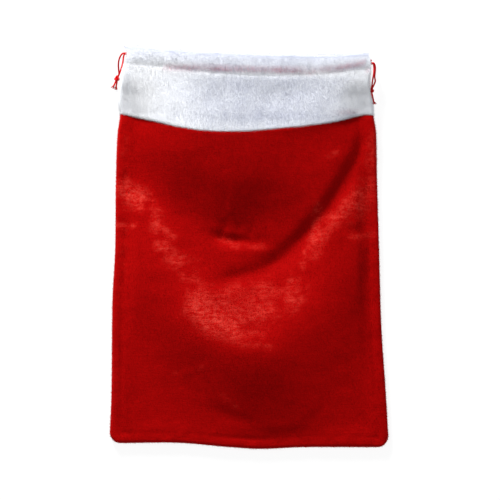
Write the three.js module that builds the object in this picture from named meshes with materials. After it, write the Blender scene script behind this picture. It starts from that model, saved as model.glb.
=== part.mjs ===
// A fabric gift sack: red plush panels and a white plush cuff, sewn round three sides, with a cord
// channel round the mouth and two drawcords, each knotted where it leaves its own side.
// The empty sack lies on its back panel. Millimetres: X runs across the sack, Y towards its mouth
// and Z up from the surface it lies on, with the origin at the middle of its footprint.
// The cloth is laid out in cloth coordinates: across, from 0 at the left side seam to CUT_WIDTH at
// the right one, and along, from the bottom seam up to the cuff's seam.
import * as THREE from "three";

const { clamp, lerp, smoothstep } = THREE.MathUtils;

// Cloth
const CUT_WIDTH = 400;
const RED_LENGTH = 470;
const CLOTH = 2.2;
const ALLOWANCE = 13;
const ALLOWANCE_STEP = 0.4;
const CORNER_RADIUS = 16;
const SEAM_GAP = 0.3;
const CUFF_SEAM_END = 0.58;

// Heights of the front over the surface that the sack lies on
const BORDER_UNDERSIDE = 6.1;
const BORDER_TOP = 10.5;
const SEAM_CROWN = 39;
const SWAG_HEIGHT = 20;
const RISE_STARTS = 16;
const RISE_ENDS = 78;

// Cord channels: two layers of cloth round a tunnel, one on the surface and one lifted to open the mouth
const CHANNEL_HEIGHT = 8;
const FRONT_CHANNEL_BASE = 21;
const CHANNEL_WALL = 2;
const HEM_LAP = 5;

// Drawcords
const CORD_RADIUS = 1.25;
const CORD_OFFSET = 2;
const TURN_RADIUS = 5;
const LEFT_EXIT = { x: -181.5, y: 284.5 };
const RIGHT_EXIT = { x: 181.3, y: 274 };
const FRONT_CORD_LEVEL = FRONT_CHANNEL_BASE + CHANNEL_HEIGHT / 2;
const BACK_CORD_LEVEL = CHANNEL_HEIGHT / 2;

// Sewing thread, laid flat
const THREAD = 0.9;
const TACK_LENGTH = 13;

const RED_PLUSH = { color: 0xb30a0a, roughness: 0.85, metalness: 0 };
const WHITE_PLUSH = { color: 0xeceef4, roughness: 0.9, metalness: 0 };
const RED_CORD = { color: 0xd8141a, roughness: 0.6, metalness: 0 };
const RED_THREAD = { color: 0x9c0c0e, roughness: 0.7, metalness: 0 };
const WHITE_THREAD = { color: 0xdfe2ea, roughness: 0.7, metalness: 0 };

// A smooth function of one value through a few points [at, value].
function through(points) {
  const last = points.length - 1;
  const slopes = points.map((_, i) => {
    const before = points[Math.max(i - 1, 0)];
    const after = points[Math.min(i + 1, last)];
    return (after[1] - before[1]) / (after[0] - before[0]);
  });
  return (at) => {
    let i = 0;
    while (i < last - 1 && points[i + 1][0] < at) i += 1;
    const span = points[i + 1][0] - points[i][0];
    const t = clamp((at - points[i][0]) / span, 0, 1);
    const t2 = t * t;
    const t3 = t2 * t;
    const ends = (2 * t3 - 3 * t2 + 1) * points[i][1] + (3 * t2 - 2 * t3) * points[i + 1][1];
    const bends = (t3 - 2 * t2 + t) * slopes[i] + (t3 - t2) * slopes[i + 1];
    return ends + span * bends;
  };
}

// The sides, as x at a height y on the surface. The red body flares slightly to the bottom, and
// the cuff puffs out a little above its seam and draws in at the channel.
const leftEdge = through([
  [-276, -206], [-215, -203.5], [-78, -202], [-2, -198], [94, -197], [168, -194.5],
  [198, -190.5], [213, -193.5], [257, -188.5], [286, -179.5], [298, -183.5],
]);
const rightEdge = through([
  [-276, 206], [-215, 202.5], [-119, 196], [-2, 192.5], [100, 189.5], [171, 188],
  [196, 184], [206, 184.5], [239, 179], [272, 179.3], [287, 175],
]);

// The lines that run across, as y at a distance across the cloth.
const bottomEdge = through([[0, -289.5], [90, -289], [165, -295], [218, -298], [281, -295.5], [400, -295.5]]);
const cuffSeam = through([
  [0, 199], [58, 187], [100, 177.5], [142, 172], [185, 171.5], [262, 177], [335, 186.5],
  [385, 197.5], [400, 196],
]);
const channelLine = through([
  [0, 271.5], [74, 266.4], [111, 261.5], [163, 256.8], [227, 254], [320, 256], [400, 264],
]);
const mouthEdge = through([
  [0, 298], [31, 296.7], [75, 291.5], [119, 289], [266, 284.5], [342, 283.5], [400, 287],
]);

// The front slumps in one deep swag between its upper corners, and the belly fills out below it.
const swagLine = through([
  [-190, 160], [-146, 92], [-95, 48], [-50, 23], [-6, 8], [31, -12], [75, 23], [120, 85],
  [150, 137], [185, 190],
]);
const bellyCrown = through([[-298, 26], [-240, 34.5], [-215, 37], [-140, 38.5], [-60, 38], [20, 35], [100, 33], [190, 30]]);
const swagSoftness = through([[-190, 45], [-50, 30], [31, 14], [185, 12]]);

const sideDistance = (across) => Math.min(across, CUT_WIDTH - across);
const riseFrom = (distance) => smoothstep(distance, RISE_STARTS, RISE_ENDS);

// The turned-in allowances make a thick border, with a shallow valley along their inner edge.
function borderTop(distance) {
  if (distance < ALLOWANCE) return BORDER_TOP - 0.5 * Math.abs(distance / 5 - 1);
  return BORDER_TOP - 1.6;
}

function placeOnRed(across, along) {
  const share = across / CUT_WIDTH;
  const y = lerp(bottomEdge(across), cuffSeam(across) - SEAM_GAP / 2, along / RED_LENGTH);
  const drop = Math.max(CORNER_RADIUS - along, 0);
  const inset = CORNER_RADIUS - Math.sqrt(CORNER_RADIUS ** 2 - drop ** 2);
  return { x: lerp(leftEdge(y) + inset, rightEdge(y) - inset, share), y };
}

function frontTop(across, along) {
  const { x, y } = placeOnRed(across, along);
  const beyond = y - swagLine(x);
  const apron = lerp(SWAG_HEIGHT, SEAM_CROWN, smoothstep(beyond, 0, 150));
  const belly = lerp(bellyCrown(y), SWAG_HEIGHT, Math.exp(Math.min(beyond, 0) / swagSoftness(x)));
  const distance = Math.min(sideDistance(across), along);
  return lerp(borderTop(distance), beyond > 0 ? apron : belly, riseFrom(distance));
}

function placeOnCuff(across, up) {
  const y = lerp(cuffSeam(across) + SEAM_GAP / 2, channelLine(across) - HEM_LAP, up);
  return placeAt(across, y);
}

function placeAt(across, y) {
  return { x: lerp(leftEdge(y), rightEdge(y), across / CUT_WIDTH), y };
}

function cuffTop(across, up) {
  const distance = sideDistance(across);
  const crown = lerp(frontTop(CUT_WIDTH / 2, RED_LENGTH), 30, up);
  const puffed = lerp(borderTop(distance), crown, riseFrom(distance));
  const channelTop = FRONT_CHANNEL_BASE + CHANNEL_HEIGHT - CLOTH;
  return lerp(puffed, channelTop, smoothstep(up, CUFF_SEAM_END - 0.03, 1));
}

// Grid lines: close together over the border, then evenly spread.
function gridLines(length, count, bothEnds) {
  const border = [0, 5, ALLOWANCE, ALLOWANCE + ALLOWANCE_STEP, 26, 48];
  const start = border.at(-1);
  const end = bothEnds ? length - start : length;
  const middle = Array.from({ length: count }, (_, i) => lerp(start, end, (i + 1) / (count + 1)));
  const far = bothEnds ? border.map((d) => length - d).reverse() : [length];
  return [...border, ...middle, ...far];
}

const COLUMNS = gridLines(CUT_WIDTH, 9, true);
const FRONT_ROWS = gridLines(RED_LENGTH, 17, false);
const BACK_ROWS = gridLines(RED_LENGTH, 7, false);

// A closed body from rings of points in step with each other. A ring may have a hole's ring inside it.
function sweep(rings, holes) {
  const points = [];
  const faces = [];
  const addWall = (loops, inward) => {
    const base = points.length;
    const size = loops[0].length;
    loops.forEach((loop) => points.push(...loop));
    for (let i = 0; i + 1 < loops.length; i += 1) {
      for (let j = 0; j < size; j += 1) {
        const a = base + i * size + j;
        const b = base + i * size + ((j + 1) % size);
        const corners = inward ? [a, a + size, b + size, b] : [a, b, b + size, a + size];
        faces.push(corners[0], corners[1], corners[2], corners[0], corners[2], corners[3]);
      }
    }
    return base;
  };
  const outerBase = addWall(rings, false);
  const holeBase = holes ? addWall(holes, true) : 0;
  const ringSize = rings[0].length;
  const holeSize = holes ? holes[0].length : 0;
  [0, rings.length - 1].forEach((i) => {
    const flat = (loop) => loop.map((p) => new THREE.Vector2(p.y, p.z));
    const inner = holes ? [flat(holes[i])] : [];
    const triangles = THREE.ShapeUtils.triangulateShape(flat(rings[i]), inner);
    const vertexOf = (k) => (k < ringSize
      ? outerBase + i * ringSize + k
      : holeBase + i * holeSize + (k - ringSize));
    triangles.forEach(([a, b, c]) => {
      const cap = [vertexOf(a), vertexOf(b), vertexOf(c)];
      faces.push(...(i === 0 ? cap.reverse() : cap));
    });
  });
  return geometryFrom(points, faces);
}

function geometryFrom(points, faces) {
  const geometry = new THREE.BufferGeometry();
  const positions = points.flatMap((p) => [p.x, p.y, p.z]);
  geometry.setAttribute("position", new THREE.Float32BufferAttribute(positions, 3));
  geometry.setIndex(faces);
  geometry.computeVertexNormals();
  return geometry;
}

// A closed sheet over a grid of cloth coordinates, between a top and an underside.
function sheet(columns, rows, place, topAt, undersideAt) {
  const points = [];
  const faces = [];
  const width = columns.length;
  const layer = width * rows.length;
  [topAt, undersideAt].forEach((level) => rows.forEach((along) => columns.forEach((across) => {
    const { x, y } = place(across, along);
    points.push(new THREE.Vector3(x, y, level(across, along)));
  })));
  const quad = (a, b, c, d) => faces.push(a, b, c, a, c, d);
  for (let j = 0; j + 1 < rows.length; j += 1) {
    for (let i = 0; i + 1 < width; i += 1) {
      const a = j * width + i;
      quad(a, a + 1, a + 1 + width, a + width);
      quad(a + layer, a + layer + width, a + layer + width + 1, a + layer + 1);
    }
    const left = j * width;
    const right = left + width - 1;
    quad(left, left + width, left + width + layer, left + layer);
    quad(right, right + layer, right + layer + width, right + width);
  }
  for (let i = 0; i + 1 < width; i += 1) {
    const top = (rows.length - 1) * width + i;
    quad(i, i + layer, i + layer + 1, i + 1);
    quad(top, top + 1, top + 1 + layer, top + layer);
  }
  return geometryFrom(points, faces);
}

function frontPanel() {
  const underside = (across, along) => {
    const inBorder = Math.min(sideDistance(across), along) <= ALLOWANCE;
    return inBorder ? BORDER_UNDERSIDE : frontTop(across, along) - CLOTH;
  };
  return sheet(COLUMNS, FRONT_ROWS, placeOnRed, frontTop, underside);
}

function backPanel() {
  const top = (across, along) => {
    const inBorder = Math.min(sideDistance(across), along) <= ALLOWANCE;
    return inBorder ? 2 * CLOTH : CLOTH;
  };
  return sheet(COLUMNS, BACK_ROWS, placeOnRed, top, () => 0);
}

// The tunnel that the cords run through, inside a channel whose lower face is at base.
function tunnelSection(across, base) {
  const low = base + CHANNEL_WALL;
  const high = base + CHANNEL_HEIGHT - CHANNEL_WALL;
  const start = channelLine(across) + 3;
  const end = mouthEdge(across) - 3;
  return [
    [start, low + 0.6], [start + 3, low], [end - 3, low], [end, low + 1],
    [end, high - 1], [end - 3, high], [start + 3, high], [start, high - 0.6],
  ];
}

const CUFF_ROWS = [0, 0.3, CUFF_SEAM_END, 0.8];

function toPoints(across, section) {
  return section.map(([y, z]) => {
    const { x } = placeAt(across, y);
    return new THREE.Vector3(x, y, z);
  });
}

// The front cuff rises from its seam to the lifted channel. Its outer layer is on top.
function frontCuff() {
  const rings = COLUMNS.map((across) => {
    const line = channelLine(across);
    const mouth = mouthEdge(across);
    const base = FRONT_CHANNEL_BASE;
    const top = base + CHANNEL_HEIGHT;
    const middle = (line + mouth) / 2;
    const inBorder = sideDistance(across) <= ALLOWANCE;
    const outer = CUFF_ROWS.map((up) => [placeOnCuff(across, up).y, cuffTop(across, up)]);
    const underside = CUFF_ROWS.map((up) => {
      const sewn = inBorder && up <= CUFF_SEAM_END;
      return [placeOnCuff(across, up).y, sewn ? BORDER_UNDERSIDE : cuffTop(across, up) - CLOTH];
    });
    const hem = line - HEM_LAP;
    return toPoints(across, [
      [hem - 0.3, top - 2 * CLOTH], [hem, base + 1.1], [line, base + 1.1], [line + 4, base + 0.2],
      [middle, base], [mouth - 4, base + 0.6], [mouth, base + 3.2],
      [mouth, top - 3.2], [mouth - 4, top - 0.6], [middle, top], [line + 4, top - 0.4],
      [line, top - 2.5], [hem, top - CLOTH],
      ...outer.reverse(), ...underside,
    ]);
  });
  const holes = COLUMNS.map((across) => toPoints(across, tunnelSection(across, FRONT_CHANNEL_BASE)));
  return sweep(rings, holes);
}

// The back cuff lies flat. Its outer layer is underneath.
function backCuff() {
  const rings = COLUMNS.map((across) => {
    const line = channelLine(across);
    const mouth = mouthEdge(across);
    const top = CHANNEL_HEIGHT;
    const inBorder = sideDistance(across) <= ALLOWANCE;
    const outer = CUFF_ROWS.map((up) => [placeOnCuff(across, up).y, 0]);
    const inner = CUFF_ROWS.map((up) => {
      const sewn = inBorder && up <= CUFF_SEAM_END;
      return [placeOnCuff(across, up).y, sewn ? 2 * CLOTH : CLOTH];
    });
    const hem = line - HEM_LAP;
    return toPoints(across, [
      ...outer, [line, 0], [mouth - 4, 0], [mouth, 3.2], [mouth, top - 3.2], [mouth - 4, top - 0.6],
      [(line + mouth) / 2, top], [line + 4, top - 0.4], [line, 2 * CLOTH], [hem, 2 * CLOTH],
      [hem - 0.3, CLOTH], ...inner.reverse(),
    ]);
  });
  const holes = COLUMNS.map((across) => toPoints(across, tunnelSection(across, 0)));
  return sweep(rings, holes);
}

// A flat thread or tape through points, its section upright.
function ribbon(points, width, height) {
  const rings = points.map((point, i) => {
    const before = points[Math.max(i - 1, 0)];
    const after = points[Math.min(i + 1, points.length - 1)];
    const side = new THREE.Vector3(after.y - before.y, before.x - after.x, 0).normalize();
    const corner = (s, h) => point.clone().addScaledVector(side, (s * width) / 2)
      .add(new THREE.Vector3(0, 0, (h * height) / 2));
    return [corner(1, -1), corner(1, 1), corner(-1, 1), corner(-1, -1)];
  });
  return prism(rings);
}

// A closed body from four-cornered rings.
function prism(rings) {
  const points = rings.flat();
  const faces = [];
  const quad = (a, b, c, d) => faces.push(a, b, c, a, c, d);
  for (let i = 0; i + 1 < rings.length; i += 1) {
    for (let j = 0; j < 4; j += 1) {
      const a = 4 * i + j;
      const b = 4 * i + ((j + 1) % 4);
      quad(a, a + 4, b + 4, b);
    }
  }
  const end = points.length - 4;
  quad(0, 1, 2, 3);
  quad(end + 3, end + 2, end + 1, end);
  return geometryFrom(points, faces);
}

// A line of sewing that runs inside the border: down the left side, along the bottom and up the right.
function perimeterLine(inset, level, cornerCut) {
  const at = ({ x, y }) => new THREE.Vector3(x, y, level);
  const cuffRows = [CUFF_SEAM_END - 0.06, 0.3, 0.02];
  const side = [inset, CUT_WIDTH - inset].map((across) => [
    ...cuffRows.map((up) => at(placeOnCuff(across, up))),
    ...BACK_ROWS.filter((along) => along > 26).reverse().map((along) => at(placeOnRed(across, along))),
    at(placeOnRed(across, inset + cornerCut)),
  ]);
  const bottom = COLUMNS.filter((across) => sideDistance(across) > inset + cornerCut)
    .map((across) => at(placeOnRed(across, inset)));
  return [...side[0], ...bottom, ...side[1].reverse()];
}

const INNER_COLUMNS = COLUMNS.filter((across) => sideDistance(across) > 20);

function joinThread(levelAt) {
  const points = INNER_COLUMNS.map((across) => {
    const { x, y } = placeAt(across, cuffSeam(across));
    return new THREE.Vector3(x, y, levelAt(across));
  });
  return ribbon(points, THREAD, THREAD);
}

function channelStitch(level) {
  const points = INNER_COLUMNS.map((across) => {
    const { x, y } = placeAt(across, channelLine(across));
    return new THREE.Vector3(x, y, level);
  });
  return ribbon(points, THREAD, THREAD);
}

function barTack() {
  return new THREE.BoxGeometry(TACK_LENGTH, 1.6, THREAD);
}

function cordTube(points, steps) {
  const section = new THREE.Shape();
  section.absarc(0, 0, CORD_RADIUS, 0, 2 * Math.PI);
  const path = new THREE.CatmullRomCurve3(points.map((p) => new THREE.Vector3(...p)));
  return new THREE.ExtrudeGeometry(section, { steps, curveSegments: 4, extrudePath: path });
}

const chord = new THREE.Vector3(RIGHT_EXIT.x - LEFT_EXIT.x, RIGHT_EXIT.y - LEFT_EXIT.y, 0);
const chordAngle = Math.atan2(chord.y, chord.x);

// A straight stretch of cord inside a channel, from one exit to the other.
function cordRun(lift, level) {
  const run = new THREE.Mesh(new THREE.CylinderGeometry(CORD_RADIUS, CORD_RADIUS, chord.length(), 8));
  run.position.set((LEFT_EXIT.x + RIGHT_EXIT.x) / 2, (LEFT_EXIT.y + RIGHT_EXIT.y) / 2 + lift, level);
  run.rotation.z = chordAngle - Math.PI / 2;
  return run;
}

// Where a cord crosses from the front channel to the back one, at the corner far from its knot.
function cordTurn(exit, outward, lift) {
  const points = [];
  const levels = [
    [FRONT_CORD_LEVEL - TURN_RADIUS, Math.PI / 2, 0],
    [BACK_CORD_LEVEL + TURN_RADIUS, 0, -Math.PI / 2],
  ];
  levels.forEach(([centre, from, to]) => {
    for (let i = 0; i <= 4; i += 1) {
      const angle = lerp(from, to, i / 4);
      const reach = SEAM_GAP + TURN_RADIUS * Math.cos(angle);
      points.push([exit.x + outward * reach, exit.y + lift, centre + TURN_RADIUS * Math.sin(angle)]);
    }
  });
  return cordTube(points, 12);
}

function knot() {
  return new THREE.SphereGeometry(1, 12, 8);
}

// The free ends of each cord: from its exit, down beside the cuff to the knot and its two tails.
const LEFT_LOOP = {
  front_strand: [
    [-182.2, 286.5, 25], [-186.4, 285.9, 24.2], [-190, 281.8, 21], [-192.2, 276, 17],
    [-193, 269.6, 12.5], [-192.8, 263, 8.8], [-192.4, 257.6, 6.2],
  ],
  back_strand: [
    [-182.3, 286.5, 4], [-184.7, 285.8, 3.2], [-186, 281.5, 1.6], [-186.8, 274.6, 1.6],
    [-188.4, 268, 1.8], [-190.3, 262, 1.7], [-192, 257, 1.9],
  ],
  knot: { centre: [-195.4, 250.4, 4.2], radii: [4.6, 4.4, 3.5] },
  first_tail: [[-197.4, 245.6, 4.8], [-198.8, 242.4, 4.3], [-200.2, 239.2, 3.6]],
  second_tail: [[-195.6, 245.4, 1.9], [-196.3, 241.6, 1.6], [-196.8, 237.6, 1.5]],
};
const RIGHT_LOOP = {
  front_strand: [
    [182, 272, 25], [184.4, 271.3, 24.5], [186.3, 266, 22.6], [186, 258.6, 19.7],
    [185.6, 252, 17.6], [186.4, 245.6, 16.2], [184.4, 240, 15.4], [182.6, 236.4, 15],
  ],
  back_strand: [
    [182, 272, 4], [184.2, 271.2, 4.2], [185, 265.4, 5], [184.6, 257.4, 6.6], [183.4, 250.6, 8.2],
    [182.5, 245, 10], [181.9, 240.2, 11.8], [181.3, 236.8, 12.6],
  ],
  knot: { centre: [180.7, 230.8, 14.4], radii: [4.2, 4.8, 3.5] },
  first_tail: [[180.4, 225.2, 14.4], [180.6, 220.4, 13.6], [180.6, 215.2, 13]],
  second_tail: [[182.2, 225.4, 12.6], [183.2, 220.6, 12.2], [184.4, 215, 12]],
};

const sack = new THREE.Group();

function add(name, shape, finish) {
  const mesh = shape.isMesh ? shape : new THREE.Mesh(shape);
  mesh.name = name;
  mesh.material = new THREE.MeshStandardMaterial(finish);
  sack.add(mesh);
  return mesh;
}

function addDrawcord(side, loop, exit, outward, lift) {
  add(`${side}_cord_front_run`, cordRun(lift, FRONT_CORD_LEVEL), RED_CORD);
  add(`${side}_cord_back_run`, cordRun(lift, BACK_CORD_LEVEL), RED_CORD);
  const farExit = exit === LEFT_EXIT ? RIGHT_EXIT : LEFT_EXIT;
  add(`${side}_cord_far_turn`, cordTurn(farExit, -outward, lift), RED_CORD);
  add(`${side}_cord_front_strand`, cordTube(loop.front_strand, 9), RED_CORD);
  add(`${side}_cord_back_strand`, cordTube(loop.back_strand, 9), RED_CORD);
  const tied = add(`${side}_cord_knot`, knot(), RED_CORD);
  tied.position.set(...loop.knot.centre);
  tied.scale.set(...loop.knot.radii);
  add(`${side}_cord_first_tail`, cordTube(loop.first_tail, 3), RED_CORD);
  add(`${side}_cord_second_tail`, cordTube(loop.second_tail, 3), RED_CORD);
}

function addBarTack(name, across, level) {
  const { x, y } = placeAt(across, channelLine(across));
  const beside = placeAt(across + 1, channelLine(across + 1));
  const tack = add(name, barTack(), WHITE_THREAD);
  tack.position.set(x, y, level);
  tack.rotation.z = Math.atan2(beside.y - y, beside.x - x);
}

add("front_panel", frontPanel(), RED_PLUSH);
add("back_panel", backPanel(), RED_PLUSH);
add("front_cuff", frontCuff(), WHITE_PLUSH);
add("back_cuff", backCuff(), WHITE_PLUSH);

const betweenBorders = (2 * CLOTH + BORDER_UNDERSIDE) / 2;
add("perimeter_seam_thread", ribbon(perimeterLine(2.5, betweenBorders, 2), THREAD, THREAD), RED_THREAD);
const overlockHeight = BORDER_UNDERSIDE - CLOTH - 2 * SEAM_GAP;
const overlockLevel = CLOTH + SEAM_GAP + overlockHeight / 2;
add("perimeter_overlock", ribbon(perimeterLine(14.4, overlockLevel, 8), 1, overlockHeight), RED_THREAD);

const threadLift = SEAM_GAP + THREAD / 2;
const frontJoinLevel = (across) => frontTop(across, RED_LENGTH) - CLOTH - 2 * threadLift;
add("front_join_thread", joinThread(frontJoinLevel), RED_THREAD);
add("back_join_thread", joinThread(() => CLOTH + threadLift), RED_THREAD);

const frontStitchLevel = FRONT_CHANNEL_BASE + CHANNEL_HEIGHT - 2.5 + threadLift + 0.2;
const backStitchLevel = 2 * CLOTH + threadLift + 0.2;
add("front_channel_stitch", channelStitch(frontStitchLevel), WHITE_THREAD);
add("back_channel_stitch", channelStitch(backStitchLevel), WHITE_THREAD);
addBarTack("front_left_bar_tack", TACK_LENGTH, frontStitchLevel + 0.3);
addBarTack("front_right_bar_tack", CUT_WIDTH - TACK_LENGTH, frontStitchLevel + 0.3);
addBarTack("back_left_bar_tack", TACK_LENGTH, backStitchLevel + 0.3);
addBarTack("back_right_bar_tack", CUT_WIDTH - TACK_LENGTH, backStitchLevel + 0.3);

addDrawcord("left", LEFT_LOOP, LEFT_EXIT, -1, CORD_OFFSET);
addDrawcord("right", RIGHT_LOOP, RIGHT_EXIT, 1, -CORD_OFFSET);

export default sack;
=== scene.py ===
"""A fabric gift sack lying flat: red plush panels, a white plush cuff with a cord channel, two drawcords.

Every length in the tables is in millimetres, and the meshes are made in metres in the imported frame:
X across the sack, Y towards its mouth, Z up from the surface that it lies on.
"""

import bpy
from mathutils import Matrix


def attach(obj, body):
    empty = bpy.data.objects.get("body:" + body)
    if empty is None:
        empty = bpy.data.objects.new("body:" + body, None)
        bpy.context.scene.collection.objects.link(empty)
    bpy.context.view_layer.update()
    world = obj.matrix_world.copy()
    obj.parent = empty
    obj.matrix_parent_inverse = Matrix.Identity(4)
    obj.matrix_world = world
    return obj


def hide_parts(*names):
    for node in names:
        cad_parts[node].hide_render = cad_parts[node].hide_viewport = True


bl_info = {
    "name": "Plush gift sack",
    "version": (1, 0, 0),
    "blender": (4, 5, 0),
    "location": "View3D > Sidebar > Gift sack",
    "description": "Builds a plush gift sack with a white cuff and two drawcords around its packed frame",
    "category": "Object",
}

import math

import bmesh
import bpy
import numpy as np
from mathutils import Vector

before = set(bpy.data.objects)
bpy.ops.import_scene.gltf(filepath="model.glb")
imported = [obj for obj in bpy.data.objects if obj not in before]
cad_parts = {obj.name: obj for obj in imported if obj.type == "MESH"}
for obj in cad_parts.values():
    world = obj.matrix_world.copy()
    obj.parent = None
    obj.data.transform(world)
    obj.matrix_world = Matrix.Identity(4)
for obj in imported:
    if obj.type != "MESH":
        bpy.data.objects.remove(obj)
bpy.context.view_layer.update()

MM = 0.001

# Cloth, in cloth coordinates: across from the left side seam, along from the bottom seam to the cuff
CUT_WIDTH = 400.0
RED_LENGTH = 470.0
CLOTH = 2.2
ALLOWANCE = 13.0
CORNER_RADIUS = 16.0
EDGE_ROLL = 5.0
SEAM_LEVEL = 5.3
BORDER_TOP = 10.4
CUFF_SEAM_END = 0.58

# Cord channels
CHANNEL_HEIGHT = 8.0
FRONT_CHANNEL_BASE = 21.0
HEM_LAP = 5.0

# Drawcord route
LEFT_EXIT = (-181.5, 284.5)
RIGHT_EXIT = (181.3, 274.0)
FRONT_CORD_LEVEL = 25.0
BACK_CORD_LEVEL = 4.0
CORD_OFFSET = 2.0


def through(points):
    """A smooth function of one value through a few points (at, value)."""
    at = np.array([p[0] for p in points], float)
    value = np.array([p[1] for p in points], float)
    last = len(at) - 1
    before = np.maximum(np.arange(last + 1) - 1, 0)
    after = np.minimum(np.arange(last + 1) + 1, last)
    slope = (value[after] - value[before]) / (at[after] - at[before])

    def curve(x):
        x = np.asarray(x, float)
        i = np.clip(np.searchsorted(at, x, side="left") - 1, 0, last - 1)
        span = at[i + 1] - at[i]
        t = np.clip((x - at[i]) / span, 0, 1)
        ends = (2 * t**3 - 3 * t**2 + 1) * value[i] + (3 * t**2 - 2 * t**3) * value[i + 1]
        bends = (t**3 - 2 * t**2 + t) * slope[i] + (t**3 - t**2) * slope[i + 1]
        return ends + span * bends

    return curve


def smooth(value, low, high):
    t = np.clip((np.asarray(value, float) - low) / (high - low), 0, 1)
    return t * t * (3 - 2 * t)


def mix(a, b, share):
    return a + (b - a) * share


def bell(gap, reach):
    """1 at no gap, falling off smoothly on both sides to about a third at the reach."""
    return np.exp(-((gap / reach) ** 2))


def patch(x, y, centre, reach):
    """1 in the middle of an oval patch, falling off smoothly round it."""
    return np.exp(-(((x - centre[0]) / reach[0]) ** 2 + ((y - centre[1]) / reach[1]) ** 2))


def patches(x, y, table):
    return sum(amount * patch(x, y, centre, reach) for centre, reach, amount in table)


def from_side(across):
    """How far a place is from the nearer side seam."""
    return np.minimum(across, CUT_WIDTH - across)


def in_allowance(distance):
    """1 over the turned-in allowance, 0 inside it."""
    return 1 - smooth(distance, ALLOWANCE - 0.8, ALLOWANCE + 0.8)


def walk(path):
    """How far along its path each point is."""
    return np.concatenate([[0], np.cumsum(np.linalg.norm(np.diff(path, axis=0), axis=1))])


left_edge = through([
    (-276, -206), (-215, -203.5), (-78, -202), (-2, -198), (94, -197), (168, -194.5),
    (198, -190.5), (213, -193.5), (257, -188.5), (286, -179.5), (298, -183.5),
])
right_edge = through([
    (-276, 206), (-215, 202.5), (-119, 196), (-2, 192.5), (100, 189.5), (171, 188),
    (196, 184), (206, 184.5), (239, 179), (272, 179.3), (287, 175),
])
bottom_edge = through([(0, -289.5), (90, -289), (165, -295), (218, -298), (281, -295.5), (400, -295.5)])
cuff_seam = through([
    (0, 199), (58, 187), (100, 177.5), (142, 172), (185, 171.5), (262, 177), (335, 186.5),
    (385, 197.5), (400, 196),
])
channel_line = through([
    (0, 271.5), (74, 266.4), (111, 261.5), (163, 256.8), (227, 254), (320, 256), (400, 264),
])
mouth_edge = through([
    (0, 298), (31, 296.7), (75, 291.5), (119, 289), (266, 284.5), (342, 283.5), (400, 287),
])

# The heights of the front's control net, from the bottom seam up to the cuff, each row from left to right.
NET_X = (-200.0, 200.0)
NET_Y = (-292.0, 200.0)
FRONT_NET = np.array([
    (10, 9, 8.6, 10.7, 12.6, 10.1, 9.8, 10.3, 8.3, 10.2),
    (11, 9.9, 8, 10.4, 8.4, 16, 9.9, 8, 8, 8.9),
    (9.7, 8, 8, 8, 13.7, 18.5, 16.9, 8, 9.7, 9.8),
    (11.5, 10.3, 8, 10.6, 31.4, 29.6, 20, 11.6, 10, 9.1),
    (9, 9.5, 8, 30.1, 42.7, 35.5, 24.6, 20, 8.6, 8),
    (10.1, 12.3, 19.3, 37.7, 25.9, 21.3, 30.6, 22.2, 10.8, 8),
    (9.9, 14.4, 27.7, 23.2, 20.5, 10.2, 21.5, 28.4, 14.8, 8),
    (9.7, 15.6, 23.8, 20.8, 13.6, 13.2, 15.5, 29, 12, 8),
    (8, 12.1, 19, 11.1, 20.9, 15.4, 26.5, 22.8, 12.8, 8),
    (8, 8, 8, 29.8, 32.7, 29.2, 30.3, 22.8, 11.6, 8),
    (8, 10, 27.5, 39, 31.7, 32.2, 28, 26.6, 13.9, 8),
    (8, 9.9, 24.9, 34.4, 34.4, 34.2, 35.2, 22.6, 9.1, 8),
    (8, 8.1, 25.4, 41.3, 33.8, 33.3, 48.6, 17.5, 8, 8),
])

# Creases of the front: points, the reach to the left and to the right of travel, and the depth on the way.
CREASES = [
    # the long diagonal fold from the upper right corner
    ([(191, 200.5), (179, 174), (167, 149), (154, 123.5), (141, 101.5), (126, 76), (111, 55.5), (95, 35),
      (77, 15.5), (59, -1), (40, -12.5)], 18, 10.5, (-0.8, -4.6, -6.2, -6.8, -7.0, -2.0)),
    # its lower tongue across the middle
    ([(75.5, 2), (55, -14), (34, -26), (12, -35), (-12, -42), (-35.5, -48), (-62, -54)], 16, 11,
     (-0.8, -3.2, -3.5, -4.2, -0.3)),
    # the small pleat above it
    ([(-60.5, 23), (-49, 17), (-34, 12.5), (-16, 11), (1.5, 9.5), (22, 8)], 7, 12, (-1.2, -6, -5.2, -3, 0)),
    ([(131.5, 24.5), (149.5, 24.5), (170, 27.5), (191, 32)], 7, 12, (0, -2, -1.1)),
    ([(179, 14), (177.5, -11), (174.5, -40.5), (171.5, -77.5), (167, -122)], 6, 10,
     (-0.3, -1, -1.6, -0.9, 0)),
    ([(-26.5, 85), (-26.5, 63), (-29.5, 43.5), (-38.5, 24.5)], 7, 7, (0, 1.2, -1.9)),
    ([(4.5, 63), (4.5, 43.5), (1.5, 21.5)], 7, 7, (0, 0.3, -1.9)),
    ([(-63.5, -231.5), (-52, -237.5), (-31, -248), (-4.5, -255.5), (16.5, -265.5), (34, -282)], 10, 14,
     (0, -2, -2, -0.9, -0.5)),
    ([(43, -282), (69.5, -273), (93, -255), (114, -231.5), (129, -208)], 12, 9, (0, -0.2, -0.9, 0)),
    ([(-108, -190), (-90, -184), (-72.5, -180), (-57.5, -169.5)], 5, 5, (0, 0.9, 0)),
    ([(-93, -175.5), (-78.5, -183), (-63.5, -184)], 5, 5, (0, -0.8, 0)),
    ([(-191, -63), (-191, -122), (-191, -181), (-191, -240)], 7, 7, (-0.4, 0.9, 0.6, 0)),
    ([(-179, 200.5), (-180.5, 159), (-182, 120.5), (-185, 88)], 6, 6, (-0.9, -0.3, 0.8, 0)),
    ([(188, -204), (186.5, -218), (189, -230)], 5, 5, (0, -0.9, 0)),
]

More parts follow.
